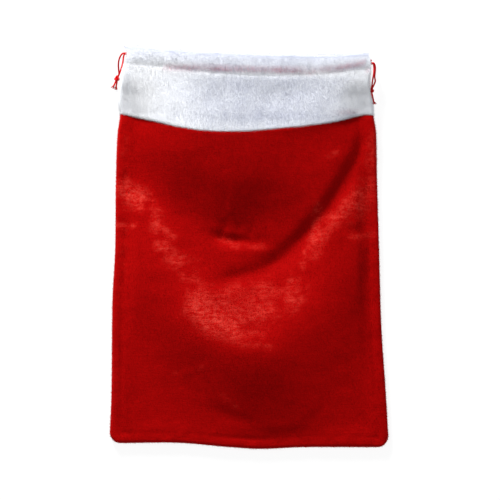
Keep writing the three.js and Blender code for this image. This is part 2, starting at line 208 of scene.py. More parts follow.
# Soft swellings and hollows of the front: middle, half widths and height.
SWELLS = [
    ((-40, 32), (13, 13), -1.4), ((-13, 29), (12, 12), -1.8), ((13, 29), (12, 13), 0.8),
    ((-25, 1), (24, 9), 0.7),
    ((19, -5), (21, 9), 1.7), ((-65, -63), (21, 13), 0.6), ((-161, 73), (21, 13), -0.6),
    ((-182, 38), (15, 7), -0.9), ((144, 63), (18, 21), 0.8), ((90, -21), (27, 15), 0.7),
    ((64, 52), (27, 21), -0.5),
    ((19, 76), (21, 27), -0.7), ((173, 14), (15, 9), -0.8), ((9, -122), (33, 21), -2.0),
    ((-102, -4), (21, 15), -0.5),
    ((38, -63), (27, 18), -0.7), ((142, -4), (18, 21), -0.6), ((-95, 159), (33, 15), -0.8),
    ((-72, 70), (24, 24), 1.1), ((-117, 100), (24, 18), 0.7), ((75, 100), (27, 21), 0.8),
]


def spline_basis(count, at):
    """The cubic basis functions of a clamped control net of that count, at values from 0 to 1."""
    knots = np.concatenate([[0.0] * 3, np.linspace(0, 1, count - 2), [1.0] * 3])
    at = np.clip(np.asarray(at, float), 0, 1 - 1e-9)
    basis = [((knots[i] <= at) & (at < knots[i + 1])).astype(float) for i in range(len(knots) - 1)]
    for degree in (1, 2, 3):
        raised = []
        for i in range(len(basis) - 1):
            low = knots[i + degree] - knots[i]
            high = knots[i + degree + 1] - knots[i + 1]
            rising = (at - knots[i]) / low * basis[i] if low > 0 else 0
            falling = (knots[i + degree + 1] - at) / high * basis[i + 1] if high > 0 else 0
            raised.append(rising + falling)
        basis = raised
    return np.stack(basis)


def net_height(x, y):
    rows, columns = FRONT_NET.shape
    across = spline_basis(columns, (x - NET_X[0]) / (NET_X[1] - NET_X[0]))
    along = spline_basis(rows, (y - NET_Y[0]) / (NET_Y[1] - NET_Y[0]))
    return np.einsum("j...,ji,i...->...", along, FRONT_NET, across)


def crease_height(x, y, points, reach_left, reach_right, depths):
    """A soft groove or ridge along a line of points, as deep as depths say on the way."""
    points = np.array(points, float)
    lengths = np.linalg.norm(np.diff(points, axis=0), axis=1)
    start = np.concatenate([[0], np.cumsum(lengths)])
    nearest = np.full(x.shape, 1e9)
    walked = np.zeros(x.shape)
    side = np.zeros(x.shape)
    for i, length in enumerate(lengths):
        a, step = points[i], points[i + 1] - points[i]
        share = np.clip(((x - a[0]) * step[0] + (y - a[1]) * step[1]) / length**2, 0, 1)
        dx, dy = x - a[0] - share * step[0], y - a[1] - share * step[1]
        gap = np.hypot(dx, dy)
        closer = gap < nearest
        nearest = np.where(closer, gap, nearest)
        walked = np.where(closer, start[i] + share * length, walked)
        side = np.where(closer, (step[0] * dy - step[1] * dx) / (length * np.maximum(gap, 1e-6)), side)
    reach = mix(reach_right, reach_left, smooth(side, -1, 1))
    depth = np.interp(walked / start[-1] * (len(depths) - 1), range(len(depths)), depths)
    return depth * bell(nearest, reach)


def soft_noise(x, y, size, seed):
    """Smooth noise from -1 to 1 on a lattice of that size, (across, along), the same for the same seed."""
    lattice = np.random.default_rng(seed).uniform(-1, 1, (160, 160))
    u, v = np.asarray(x) / size[0] + 70, np.asarray(y) / size[1] + 70
    i, j = np.floor(u).astype(int) % 159, np.floor(v).astype(int) % 159
    s, t = smooth(u - np.floor(u), 0, 1), smooth(v - np.floor(v), 0, 1)
    low = mix(lattice[j, i], lattice[j, i + 1], s)
    high = mix(lattice[j + 1, i], lattice[j + 1, i + 1], s)
    return mix(low, high, t)


def place_at(across, y):
    return mix(left_edge(y), right_edge(y), across / CUT_WIDTH)


def place_on_red(across, along):
    y = mix(bottom_edge(across), cuff_seam(across) - 0.15, along / RED_LENGTH)
    drop = np.maximum(CORNER_RADIUS - along, 0)
    inset = CORNER_RADIUS - np.sqrt(np.maximum(CORNER_RADIUS**2 - drop**2, 0))
    return mix(left_edge(y) + inset, right_edge(y) - inset, across / CUT_WIDTH), y


def rolled(distance, top):
    """The height near an edge that rolls down to its seam."""
    short = np.clip(1 - distance / EDGE_ROLL, 0, 1)
    return mix(SEAM_LEVEL, top, np.sqrt(np.maximum(1 - short**2, 0)))


def border_height(x, y, distance):
    """The thick border that the turned-in allowances make, with a valley along their inner edge.

    The valley is shallow at the upper right, where the border is drawn flat.
    """
    puffs = 0.5 * soft_noise(x, y, (17, 17), 5) + 0.25 * soft_noise(x, y, (7, 7), 6)
    depth = 0.7 + 0.75 * soft_noise(x, y, (48, 48), 7)
    depth = depth * (1 - 0.9 * smooth(x, 120, 160) * smooth(y, -20, 40))
    valley = depth * bell(distance - ALLOWANCE - 2, 4.0)
    return rolled(distance, BORDER_TOP + 6.5 * smooth(y, 70, 200) + puffs) - valley


def front_height(across, along):
    """The height of the red front's outside."""
    x, y = place_on_red(across, along)
    distance = np.minimum(from_side(across), along)
    folds = net_height(x, y)
    for crease in CREASES:
        folds = folds + crease_height(x, y, *crease)
    for centre, reach, height in SWELLS:
        folds = folds + height * patch(x, y, centre, reach)
    folds = folds + 0.3 * soft_noise(x, y, (34, 17), 1) + 0.06 * soft_noise(x, y, (13, 9), 2)
    height = mix(border_height(x, y, distance), np.maximum(folds, 7.6), smooth(distance, 13, 36))
    to_seam = RED_LENGTH - along
    return height - 0.9 * bell(to_seam, 2.2) * smooth(from_side(across), 0, 6)


def cuff_crown(across):
    return front_height(across, np.full_like(across, RED_LENGTH - 6.0)) + 0.9


CUFF_CREASES = [
    ([(-178, 268), (-177.5, 240), (-179, 205)], 5, 7, (-0.2, -0.6, -0.7)),
    ([(170, 262), (163, 235), (150, 214)], 16, 12, (0.2, -1.6, -0.6)),
    ([(60, 250), (40, 222), (28, 196)], 30, 24, (-0.5, -1.8, -0.8)),
    ([(-60, 249), (-52, 215), (-44, 186)], 26, 34, (-0.3, -1.2, -0.6)),
]


def cuff_height(across, up):
    """The height of the front cuff's outside, from its seam (0) to the hem below the channel (1)."""
    y = mix(cuff_seam(across) + 0.15, channel_line(across) - HEM_LAP, up)
    x = place_at(across, y)
    distance = from_side(across)
    crown = mix(cuff_crown(across), 28.0, smooth(up, -0.4, 1.1))
    folds = crown + 1.0 * soft_noise(x, y, (46, 60), 11) + 0.35 * soft_noise(x, y, (15, 22), 12)
    for crease in CUFF_CREASES:
        folds = folds + crease_height(x, y, *crease)
    channel_top = FRONT_CHANNEL_BASE + CHANNEL_HEIGHT - 1.3
    short = np.clip(1 - distance / EDGE_ROLL, 0, 1)
    seam_level = mix(SEAM_LEVEL, channel_top - 1.0, smooth(up, CUFF_SEAM_END, 1))
    border = mix(border_height(x, y, distance + 5 * short), channel_top, smooth(up, -0.1, 1.05))
    top = mix(border, folds, smooth(distance, 10, 40))
    top = mix(top, channel_top, smooth(up, 0.45, 1.0))
    top = mix(seam_level, top, np.sqrt(np.maximum(1 - short**2, 0)))
    dip = 0.35 * bell(y - cuff_seam(across), 1.0) * smooth(distance, 0, 6)
    return x, y, top - dip


def spaced(length, fine_start, fine_end, pitch):
    """Distances from 0 to length: the fine ones at each end, and even steps between them."""
    start, end = fine_start[-1], length - fine_end[-1]
    steps = max(2, round((end - start) / pitch))
    between = list(np.linspace(start, end, steps + 1)[1:-1])
    return np.array(fine_start + between + [length - d for d in reversed(fine_end)])


ROLL = [0, 0.15, 0.5, 1.1, 1.9, 2.9, 4, 5.2, 6.6, 8, 9.5, 11, 12.4, 13.8, 15.2, 17, 19, 21.5, 24]
SEAM_STEPS = [0, 0.6, 1.3, 2.1, 3, 4.1, 5.5, 7.5]


def make_mesh(name, vertices, faces, materials, fields=None, edges=()):
    """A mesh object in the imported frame. Vertices are in millimetres; a field holds a value for each."""
    mesh = bpy.data.meshes.new(name)
    corners = [list(map(int, face)) for face in faces]
    mesh.from_pydata((np.asarray(vertices) * MM).tolist(), list(edges), corners)
    for key, values in (fields or {}).items():
        values = np.asarray(values, np.float32)
        kind, part = ("FLOAT", "value") if values.size == len(mesh.vertices) else ("FLOAT_VECTOR", "vector")
        mesh.attributes.new(key, kind, "POINT").data.foreach_set(part, values.ravel())
    for material in materials:
        mesh.materials.append(material)
    mesh.shade_smooth()
    mesh.update()
    piece = bpy.data.objects.new(name, mesh)
    bpy.context.scene.collection.objects.link(piece)
    return piece


def grid_faces(rows, columns, base=0, flip=False, wrap=False):
    """Quads between the points of a grid, which may close round on itself."""
    spans = columns if wrap else columns - 1
    row, column = np.meshgrid(np.arange(rows - 1), np.arange(spans), indexing="ij")
    a = base + row * columns + column
    b = base + row * columns + (column + 1) % columns
    quads = np.stack([a, b, b + columns, a + columns], -1).reshape(-1, 4)
    return quads[:, ::-1] if flip else quads


def closed_sheet(top, under):
    """The vertices and faces of a closed cloth between two grids of points, (rows, columns, 3)."""
    rows, columns, _ = top.shape
    layer = rows * columns
    index = np.arange(layer).reshape(rows, columns)
    rim = np.concatenate([index[0, :-1], index[:-1, -1], index[-1, :0:-1], index[:0:-1, 0]])
    following = np.roll(rim, -1)
    walls = np.stack([rim, rim + layer, following + layer, following], -1)
    faces = np.concatenate([grid_faces(rows, columns), grid_faces(rows, columns, layer, True), walls])
    return np.concatenate([top.reshape(-1, 3), under.reshape(-1, 3)]), faces


class Value:
    """A number in a node tree. Arithmetic on it adds the nodes that work it out."""

    def __init__(self, graph, socket):
        self.graph, self.socket = graph, socket

    def math(self, operation, *others):
        return self.graph.value("ShaderNodeMath", {"operation": operation}, [self, *others])

    def __add__(self, other):
        return self.math("ADD", other)

    def __sub__(self, other):
        return self.math("SUBTRACT", other)

    def __rsub__(self, other):
        return self.graph.value("ShaderNodeMath", {"operation": "SUBTRACT"}, [other, self])

    def __mul__(self, other):
        return self.math("MULTIPLY", other)

    def clamped(self):
        return self.graph.value("ShaderNodeClamp", {}, [self, 0.0, 1.0])

    __radd__ = __add__
    __rmul__ = __mul__


class Graph:
    """A node tree and the one method that adds to it."""

    def __init__(self, tree):
        self.tree = tree

    def node(self, kind, settings=None, inputs=()):
        """A new node: first its settings, then the values or links of its inputs, by place or by name."""
        node = self.tree.nodes.new(kind)
        for key, setting in (settings or {}).items():
            setattr(node, key, setting)
        for key, given in (inputs.items() if isinstance(inputs, dict) else enumerate(inputs)):
            given = given.socket if isinstance(given, Value) else given
            if isinstance(given, bpy.types.NodeSocket):
                self.tree.links.new(given, node.inputs[key])
            elif given is not None:
                node.inputs[key].default_value = given
        return node

    def value(self, kind, settings=None, inputs=(), output=0):
        return Value(self, self.node(kind, settings, inputs).outputs[output])

    def noise(self, scale, stretch=(1, 1, 1), detail=2.0, roughness=0.5):
        """Noise about 0, from about -0.5 to 0.5, in object coordinates."""
        place = self.node("ShaderNodeTexCoord").outputs["Object"]
        mapping = {"Vector": place, "Scale": stretch}
        stretched = self.node("ShaderNodeMapping", {"vector_type": "POINT"}, mapping).outputs[0]
        inputs = {"Vector": stretched, "Scale": scale, "Detail": detail, "Roughness": roughness}
        return self.value("ShaderNodeTexNoise", {"noise_dimensions": "3D"}, inputs) - 0.5

    def attribute(self, name):
        return self.value("ShaderNodeAttribute", {"attribute_name": name}, output="Fac")

    def blend(self, share, a, b):
        """A colour between two."""
        node = self.node("ShaderNodeMix", {"data_type": "RGBA"}, {0: share, 6: a, 7: b})
        return node.outputs[2]

    def bump(self, strength, distance, height):
        inputs = {"Strength": strength, "Distance": distance, "Height": height}
        return self.node("ShaderNodeBump", None, inputs).outputs[0]


def new_material(name):
    material = bpy.data.materials.new(name)
    material.use_nodes = True
    material.node_tree.nodes.clear()
    return material, Graph(material.node_tree)


def finish_material(graph, material, fixed, linked):
    """A Principled surface: fixed sockets hold plain numbers, and linked ones vary over the surface."""
    shader = graph.node("ShaderNodeBsdfPrincipled", None, {**fixed, **linked})
    graph.node("ShaderNodeOutputMaterial", None, {"Surface": shader.outputs[0]})
    return material


def colour(hexadecimal):
    """A linear colour from a display one."""
    parts = [int(hexadecimal[i:i + 2], 16) / 255 for i in (0, 2, 4)]
    return (*[((c + 0.055) / 1.055) ** 2.4 if c > 0.04045 else c / 12.92 for c in parts], 1.0)


def opaque(rgb):
    return (*rgb, 1.0)


def tinted(base, by, share):
    return opaque([mix(base[i], by[i], share) for i in range(3)])


RED_SHEEN = {"Sheen Weight": 0.4, "Sheen Roughness": 0.45, "Sheen Tint": (1.0, 0.045, 0.04, 1),
             "Specular IOR Level": 0.015}
WHITE_SHEEN = {"Sheen Weight": 0.3, "Sheen Roughness": 0.5, "Sheen Tint": (0.93, 0.95, 1, 1),
               "Specular IOR Level": 0.15}
WHITE_HAIR_SHEEN = {"Sheen Weight": 0.3, "Sheen Roughness": 0.5, "Specular IOR Level": 0.1}


def red_plush_material(settings):
    """Short red pile: nap and painted shade make it deep, and painted highlights make it brighter and pinker.
    """
    material, graph = new_material("red_plush")
    base = opaque(settings.red_colour)
    deep, bright = tinted(base, colour("3a0000"), 0.62), tinted(base, colour("e0120e"), 0.6)
    glow = tinted(base, colour("ff6252"), 0.55)
    pile = graph.noise(650, (1, 1, 0.6), 3, 0.6)
    streaks = graph.noise(330, (0.16, 1, 1), 2, 0.6)
    clouds = graph.noise(22, (0.7, 1, 1), 3, 0.55)
    nap_and_painted_light = graph.attribute("nap_and_painted_light")
    speckle = graph.noise(190, (0.6, 1, 1), 4, 0.72)
    raised = (nap_and_painted_light - 0.2).clamped()
    # shade carries the painted light and painted shade of the nap attribute, along with the pile's own grain.
    shade = nap_and_painted_light * 0.85 + clouds * 0.3 + pile * 0.6 + streaks * (0.35 + nap_and_painted_light * 0.4) + speckle * (0.5 + raised)
    low = graph.blend((shade * -1.0).clamped(), base, deep)
    lit = graph.blend((shade * 0.7).clamped(), low, bright)
    # glints and the glow colour are painted highlights: pink tips of the pile along the painted highlight
    # trails.
    glints = (speckle * 3.4 + streaks * 1.2 + pile * 1.6 + 0.32).clamped() * raised
    full = graph.blend(glints, lit, glow)
    bump = graph.bump(0.55, 0.0012, pile * 0.8 + streaks * 0.5)
    return finish_material(graph, material, RED_SHEEN,
                           {"Base Color": full, "Roughness": 0.66 - shade * 0.1, "Normal": bump})


def white_plush_material(settings):
    """Longer, softer white pile with a cool cast, painted shade and painted light, a faint pink where a cord
    lies under it, and a painted red reflection by the seam.
    """
    material, graph = new_material("white_plush")
    base = opaque(settings.white_colour)
    grey, pink = tinted(base, colour("9fa4bb"), 0.8), tinted(base, colour("c8788c"), 0.85)
    pile = graph.noise(480, (1, 1, 1), 3, 0.6)
    tufts = graph.noise(150, (1, 0.45, 1), 2, 0.5)
    clouds = graph.noise(26, (1, 1, 1), 2, 0.5)
    # shade carries the painted shade of the cuff, with the grain of its pile; lightest is painted light where
    # it goes below 0.
    shade = graph.attribute("shade") + clouds * 0.28 + tufts * 0.16 + pile * 0.22
    lightest = graph.blend((shade * -1.6).clamped(), base, (0.975, 0.98, 1.0, 1.0))
    greyed = graph.blend(shade.clamped(), lightest, grey)
    blush = (graph.attribute("blush") * (0.9 + tufts * 1.3 + pile * 0.6)).clamped()
    tint = graph.blend(blush, greyed, pink)
    bump = graph.bump(0.5, 0.0016, pile * 0.7 + tufts * 0.8)
    return finish_material(graph, material, WHITE_SHEEN,
                           {"Base Color": tint, "Roughness": 0.85 + pile * 0.1, "Normal": bump})


def thread_material(name, base, fixed):
    """Twisted yarn: fine plies, a little fuzz and a soft shine."""
    material, graph = new_material(name)
    ply = graph.noise(1400, (1, 1, 1), 2, 0.6)
    fuzz = graph.noise(300, (1, 1, 1), 2, 0.5)
    shade = (0.45 + ply * 0.9 + fuzz * 0.5).clamped()
    tint = graph.blend(shade, opaque([c * 0.7 for c in base[:3]]), base)
    bump = graph.bump(0.5, 0.0003, ply)
    return finish_material(graph, material, fixed,
                           {"Base Color": tint, "Roughness": 0.5 + ply * 0.3, "Normal": bump})


def tone_materials(name, tones, fixed):
    """One plain finish per tone of the pile's hairs: shaded and lit copies of one plush, for random
    variation, painted shade and painted highlights.
    """
    made = []
    for i, tone in enumerate(tones):
        material, graph = new_material(f"{name}_{i + 1}")
        made.append(finish_material(graph, material, {**fixed, "Base Color": tone, "Roughness": 0.7}, {}))
    return made


class Tree(Graph):
    """A Geometry Nodes tree that takes named inputs and hands back one geometry."""

    KINDS = {float: "NodeSocketFloat", int: "NodeSocketInt", bpy.types.Material: "NodeSocketMaterial"}

    def __init__(self, name, inputs):
        super().__init__(bpy.data.node_groups.new(name, "GeometryNodeTree"))
        face = self.tree.interface
        face.new_socket(name="Geometry", in_out="INPUT", socket_type="NodeSocketGeometry")
        self.keys = {}
        for key, kind in inputs.items():
            socket = face.new_socket(name=key, in_out="INPUT", socket_type=self.KINDS[kind])
            self.keys[key] = socket.identifier
        face.new_socket(name="Geometry", in_out="OUTPUT", socket_type="NodeSocketGeometry")
        self.inputs = self.tree.nodes.new("NodeGroupInput").outputs

    def number(self, name):
        return Value(self, self.inputs[name])

    def named(self, name, kind="FLOAT"):
        return self.value("GeometryNodeInputNamedAttribute", {"data_type": kind}, {"Name": name})

    def vector(self, operation, *given, output=0):
        return self.value("ShaderNodeVectorMath", {"operation": operation}, given, output)

    def random(self, low, high, seed, kind="FLOAT"):
        """A random number or vector for each point, between two."""
        places, output = {"FLOAT_VECTOR": ((0, 1, 8), 0), "FLOAT": ((2, 3, 8), 1)}[kind]
        inputs = dict(zip(places, (low, high, seed)))
        return self.value("FunctionNodeRandomValue", {"data_type": kind}, inputs, output)

    def store(self, geometry, name, value, kind="FLOAT", domain="POINT"):
        settings = {"data_type": kind, "domain": domain}
        inputs = {"Geometry": geometry, "Name": name, "Value": value}
        return self.value("GeometryNodeStoreNamedAttribute", settings, inputs)

    def finish(self, geometry):
        self.node("NodeGroupOutput", None, {0: geometry})
        return self


def pile_tree(tones):
    """Short hairs, one narrow leaf each, that lie over a cloth the way it is combed.

    The cloth's attributes say how thick it stands (pile), where it lies (comb) and how light it is painted
    (tone), which carries painted shade and painted highlights.
    """
    tree = Tree("pile", {
        "Density": float, "Length": float, "Width": float, "Upright": float, "Scatter": float, "Seed": int,
        **{f"Tone {i + 1}": bpy.types.Material for i in range(tones)},
    })
    density = tree.named("pile") * tree.number("Density")
    spread = tree.node("GeometryNodeDistributePointsOnFaces", {"distribute_method": "RANDOM"},
                       {"Mesh": tree.inputs["Geometry"], "Density": density, "Seed": tree.number("Seed")})
    normal = Value(tree, spread.outputs["Normal"])
    kept = tree.store(spread.outputs["Points"], "lie", normal, "FLOAT_VECTOR")
    kept = tree.store(kept, "tone", tree.named("tone") + tree.random(-0.75, 0.75, 6))
    stray = tree.vector("SCALE", tree.random((-1, -1, -1), (1, 1, 1), 3, "FLOAT_VECTOR"), None, None,
                        tree.number("Scatter"))
    comb = tree.named("comb", "FLOAT_VECTOR")
    sunk = tree.vector("DOT_PRODUCT", comb, normal, output=1)
    stand = tree.vector("SCALE", normal, None, None, tree.number("Upright") - sunk)
    lean = tree.vector("ADD", comb, stand)
    direction = tree.vector("NORMALIZE", tree.vector("ADD", lean, stray))
    aimed = tree.value("FunctionNodeAlignRotationToVector", {"axis": "X"}, {"Vector": direction})
    rolled = tree.random((-0.35, -0.35, -0.35), (0.35, 0.35, 0.35), 4, "FLOAT_VECTOR")
    roll = tree.vector("ADD", normal, rolled)
    turned = tree.value("FunctionNodeAlignRotationToVector", {"axis": "Z", "pivot_axis": "X"},
                        {"Rotation": aimed, "Vector": roll})
    circle = tree.node("GeometryNodeMeshCircle", {"fill_type": "NGON"}, {"Vertices": 3, "Radius": 1.0})
    leaf = tree.value("GeometryNodeTransform", None, {
        "Geometry": circle.outputs[0], "Translation": (1 / 3, 0, 0), "Scale": (2 / 3, 0.57735, 1)})
    length = tree.number("Length") * tree.random(0.55, 1.2, 5)
    size = tree.value("ShaderNodeCombineXYZ", None, [length, tree.number("Width"), 1.0])
    placed = tree.node("GeometryNodeInstanceOnPoints", None,
                       {"Points": kept, "Instance": leaf, "Rotation": turned, "Scale": size})
    geometry = Value(tree, tree.node("GeometryNodeRealizeInstances", None, [placed.outputs[0]]).outputs[0])
    tone = tree.named("tone") + 0.0
    for i in range(tones):
        picked = tone.math("GREATER_THAN", i - 0.5)
        geometry = tree.value("GeometryNodeSetMaterial", None,
                              [geometry, picked, tree.number(f"Tone {i + 1}")])
    return tree.finish(geometry)


LOWEST_HAIR = -0.2
WORKING_ATTRIBUTES = ("lie", "comb", "pile", "tone", "nap_and_painted_light", "shade", "blush")


def grown(name, host, tree, values, smooth_from=None):
    """The plain mesh that a tree makes from a host piece, as a piece of its own.

    smooth_from names the attribute that holds the shading normals of hairs, which are kept above the floor.
    """
    modifier = host.modifiers.new("grown", "NODES")
    modifier.node_group = tree.tree
    for key, value in values.items():
        modifier[tree.keys[key]] = value
    bpy.context.view_layer.update()
    mesh = bpy.data.meshes.new_from_object(host.evaluated_get(bpy.context.evaluated_depsgraph_get()))
    host.modifiers.remove(modifier)
    mesh.name = name
    if smooth_from:
        places = np.zeros(len(mesh.vertices) * 3, np.float32)
        mesh.vertices.foreach_get("co", places)
        places[2::3] = np.maximum(places[2::3], LOWEST_HAIR * MM)
        mesh.vertices.foreach_set("co", places)
        normals = np.zeros(len(mesh.vertices) * 3, np.float32)
        mesh.attributes[smooth_from].data.foreach_get("vector", normals)
        mesh.shade_smooth()
        mesh.normals_split_custom_set_from_vertices(normals.reshape(-1, 3).tolist())
    for attribute in [a.name for a in mesh.attributes if a.name in WORKING_ATTRIBUTES]:
        mesh.attributes.remove(mesh.attributes[attribute])
    piece = bpy.data.objects.new(name, mesh)
    bpy.context.scene.collection.objects.link(piece)
    return piece


def smooth_path(points, spacing):
    """Even steps along a curve that passes through the points."""
    p = np.array(points, float)
    p = np.vstack([2 * p[0] - p[1], p, 2 * p[-1] - p[-2]])
    t = np.linspace(0, 1, 24, endpoint=False)[:, None]
    parts = []
    for a, b, c, d in zip(p[:-3], p[1:-2], p[2:-1], p[3:]):
        second, third = 2 * a - 5 * b + 4 * c - d, 3 * b - a - 3 * c + d
        parts.append(0.5 * (2 * b + (c - a) * t + second * t**2 + third * t**3))
    dense = np.vstack([*parts, p[-2:-1]])
    walked = walk(dense)
    steps = np.linspace(0, walked[-1], max(3, round(walked[-1] / spacing) + 1))
    return np.stack([np.interp(steps, walked, dense[:, k]) for k in range(3)], 1)


def frames_along(path, closed=False):
    """Two directions square to the path at each of its points, turning as little as they can."""
    tangents = np.roll(path, -1, 0) - np.roll(path, 1, 0) if closed else np.gradient(path, axis=0)
    tangents /= np.linalg.norm(tangents, axis=1)[:, None]
    side = np.cross(tangents[0], (0.0, 0.0, 1.0) if abs(tangents[0][2]) < 0.9 else (1.0, 0.0, 0.0))
    sides = []
    for tangent in tangents:
        side = side - tangent * (side @ tangent)
        side = side / np.linalg.norm(side)
        sides.append(side)
    sides = np.array(sides)
    return sides, np.cross(tangents, sides)


PLIES = 3
ROPE_SIDES = 15
CORD_PITCH = 6.5


def rings_round(path, across, up, angle, reach):
    """A ring of points round each point of a path, as far out as reach says."""
    around = np.cos(angle)[:, None] * across[:, None] + np.sin(angle)[:, None] * up[:, None]
    return path[:, None] + reach * around


def rope_rings(path, radius, closed=False):
    """The rings of a cord twisted from three plies."""
    across, up = frames_along(path, closed)
    turns = walk(path) / CORD_PITCH
    if closed:
        turns = turns / turns[-1] * round(turns[-1])
    angle = np.linspace(0, 2 * np.pi, ROPE_SIDES, endpoint=False)
    lay = angle[None, :] - 2 * np.pi * turns[:, None]
    reach = radius * (0.8 + 0.22 * np.abs(np.cos(PLIES / 2 * lay)) ** 0.8)
    return rings_round(path, across, up, angle, reach[..., None])


def tube_faces(rings, closed=False, base=0):
    """The faces of a tube, capped at both ends unless it closes on itself."""
    count, sides = rings.shape[:2]
    faces = grid_faces(count, sides, base, True, True).tolist()
    last = base + (count - 1) * sides
    if closed:
        after = [(i + 1) % sides for i in range(sides)]
        return faces + [[last + i, base + i, base + j, last + j] for i, j in enumerate(after)]
    return faces + [[base + i for i in range(sides)], [last + i for i in range(sides)]]


def face_outwards(piece):
    work = bmesh.new()
    work.from_mesh(piece.data)
    bmesh.ops.recalc_face_normals(work, faces=work.faces)
    work.to_mesh(piece.data)
    work.free()
    return piece


LOOPS = {
    "left": {
        "front": [(-179.4, 286.5, 25), (-182.2, 286.5, 25), (-186.4, 285.9, 24.2), (-190, 281.8, 21),
                  (-192.2, 276, 17),
                  (-193, 269.6, 12.5), (-192.8, 263, 8.8), (-192.4, 257.6, 6.2), (-193, 253.8, 4.8)],
        "back": [(-179.4, 286.5, 4), (-182.3, 286.5, 4), (-184.7, 285.8, 3.2), (-186, 281.5, 1.6),
                 (-186.8, 274.6, 1.6),
                 (-188.4, 268, 1.8), (-190.3, 262, 1.7), (-192, 257, 1.9), (-194.4, 253.4, 3.4)],
        "knot": ((-195.4, 250.4, 4.2), (4.6, 4.4, 3.5), 0.9),
        "tails": [[(-196.2, 248.6, 4.8), (-197.4, 245.6, 4.8), (-198.8, 242.4, 4.3), (-200.2, 239.2, 3.6)],
                  [(-195.6, 248.4, 2.6), (-195.6, 245.4, 1.9), (-196.3, 241.6, 1.6), (-196.8, 237.6, 1.5)]],
        "fray": (3.5, 5.5, 0.5),
    },
    "right": {
        "front": [(179.2, 272, 25), (182, 272, 25), (184.4, 271.3, 24.5), (186.3, 266, 22.6),
                  (186, 258.6, 19.7),
                  (185.6, 252, 17.6), (186.4, 245.6, 16.2), (184.4, 240, 15.4), (182.6, 236.4, 15),
                  (181.5, 233.4, 14.8)],
        "back": [(179.2, 272, 4), (182, 272, 4), (184.2, 271.2, 4.2), (185, 265.4, 5), (184.6, 257.4, 6.6),
                 (183.4, 250.6, 8.2), (182.5, 245, 10), (181.9, 240.2, 11.8), (181.3, 236.8, 12.6),
                 (180.8, 233.4, 13.6)],
        "knot": ((180.7, 230.8, 14.4), (4.2, 4.8, 3.5), -0.3),
        "tails": [[(180.4, 228.0, 14.4), (180.4, 225.2, 14.4), (180.6, 220.4, 13.6), (180.6, 215.2, 13)],
                  [(181.4, 228.2, 13.4), (182.2, 225.4, 12.6), (183.2, 220.6, 12.2), (184.4, 215, 12)]],
        "fray": (3.5, 5.0, 1.0),
    },
}
OUTWARD = {"left": -1, "right": 1}
EXITS = {"left": LEFT_EXIT, "right": RIGHT_EXIT}


def rope_piece(name, path, radius, material, closed=False):
    rings = rope_rings(path, radius, closed)
    return face_outwards(make_mesh(name, rings.reshape(-1, 3), tube_faces(rings, closed), [material]))


def knot_path(centre, radii, turn, tube):
    """An overhand knot drawn up tight."""
    t = np.linspace(0, 2 * np.pi, 150, endpoint=False)
    loop = np.stack([np.sin(t) + 2 * np.sin(2 * t), np.cos(t) - 2 * np.cos(2 * t), -1.25 * np.sin(3 * t)], 1)
    half = np.array([3.0, 3.0, 1.25])
    loop = loop / half * (np.array(radii) - tube)
    c, s = math.cos(turn), math.sin(turn)
    turned = np.stack([loop[:, 0] * c - loop[:, 1] * s, loop[:, 0] * s + loop[:, 1] * c, loop[:, 2]], 1)
    return turned + np.array(centre)


def tail_piece(name, points, radius, material, fray, seed):
    """A short cord end that opens into its single yarns."""
    path = smooth_path(points, 0.3)
    rings = rope_rings(path, radius)
    vertices, faces = [rings.reshape(-1, 3)], tube_faces(rings)
    base = rings.shape[0] * ROPE_SIDES
    random = np.random.default_rng(seed)
    heading = path[-1] - path[-6]
    heading /= np.linalg.norm(heading)
    across, up = frames_along(path)
    shortest, longest, flare = fray
    for _ in range(30):
        around, spread = random.uniform(0, 2 * np.pi), random.uniform(0.1, 1.0)
        out = math.cos(around) * across[-1] + math.sin(around) * up[-1] * 0.45
        root = path[-3] + out * radius * 0.75 * spread
        reach = random.uniform(shortest, longest)
        tip = root + (heading + out * spread * flare) * reach
        tip[2] = max(tip[2], 0.3)
        bend = (root + tip) / 2 + out * reach * 0.08
        thin = smooth_path([root, bend, tip], reach / 4)
        side, rise = frames_along(thin)
        width = np.linspace(0.3, 0.14, len(thin))[:, None, None]
        angle = np.array([0, 2.0944, 4.18879])
        yarn = rings_round(thin, side, rise, angle, width)
        vertices.append(yarn.reshape(-1, 3))
        faces += tube_faces(yarn, base=base)
        base += yarn.shape[0] * 3
    return face_outwards(make_mesh(name, np.vstack(vertices), faces, [material]))


def ride(piece, body, slot, *nodes):
    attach(piece, body)
    if nodes:
        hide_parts(*nodes)
    return piece


class SackCord(bpy.types.PropertyGroup):
    """Sizes and colour of the drawcords."""

    cord_colour: bpy.props.FloatVectorProperty(
        name="Cord colour", description="Colour of the twisted cord", subtype="COLOR", size=3, min=0, max=1,
        default=(0.78, 0.0025, 0.0055))
    diameter: bpy.props.FloatProperty(
        name="Diameter", description="Thickness of the cord", unit="LENGTH", default=0.0025, min=0.001,
        max=0.006)


class SackCloth(bpy.types.PropertyGroup):
    """Colours and pile of the two plush cloths."""

    red_colour: bpy.props.FloatVectorProperty(
        name="Red", description="Colour of the red plush", subtype="COLOR", size=3, min=0, max=1,
        default=(0.35, 0.0009, 0.0010))
    white_colour: bpy.props.FloatVectorProperty(
        name="White", description="Colour of the white plush", subtype="COLOR", size=3, min=0, max=1,
        default=(0.90, 0.915, 0.955))
    red_pile: bpy.props.FloatProperty(
        name="Red pile", description="Length of the red hairs", unit="LENGTH", default=0.0024, min=0.0005,
        max=0.01)
    white_pile: bpy.props.FloatProperty(
        name="White pile", description="Length of the white hairs", unit="LENGTH", default=0.0036, min=0.0005,
        max=0.01)


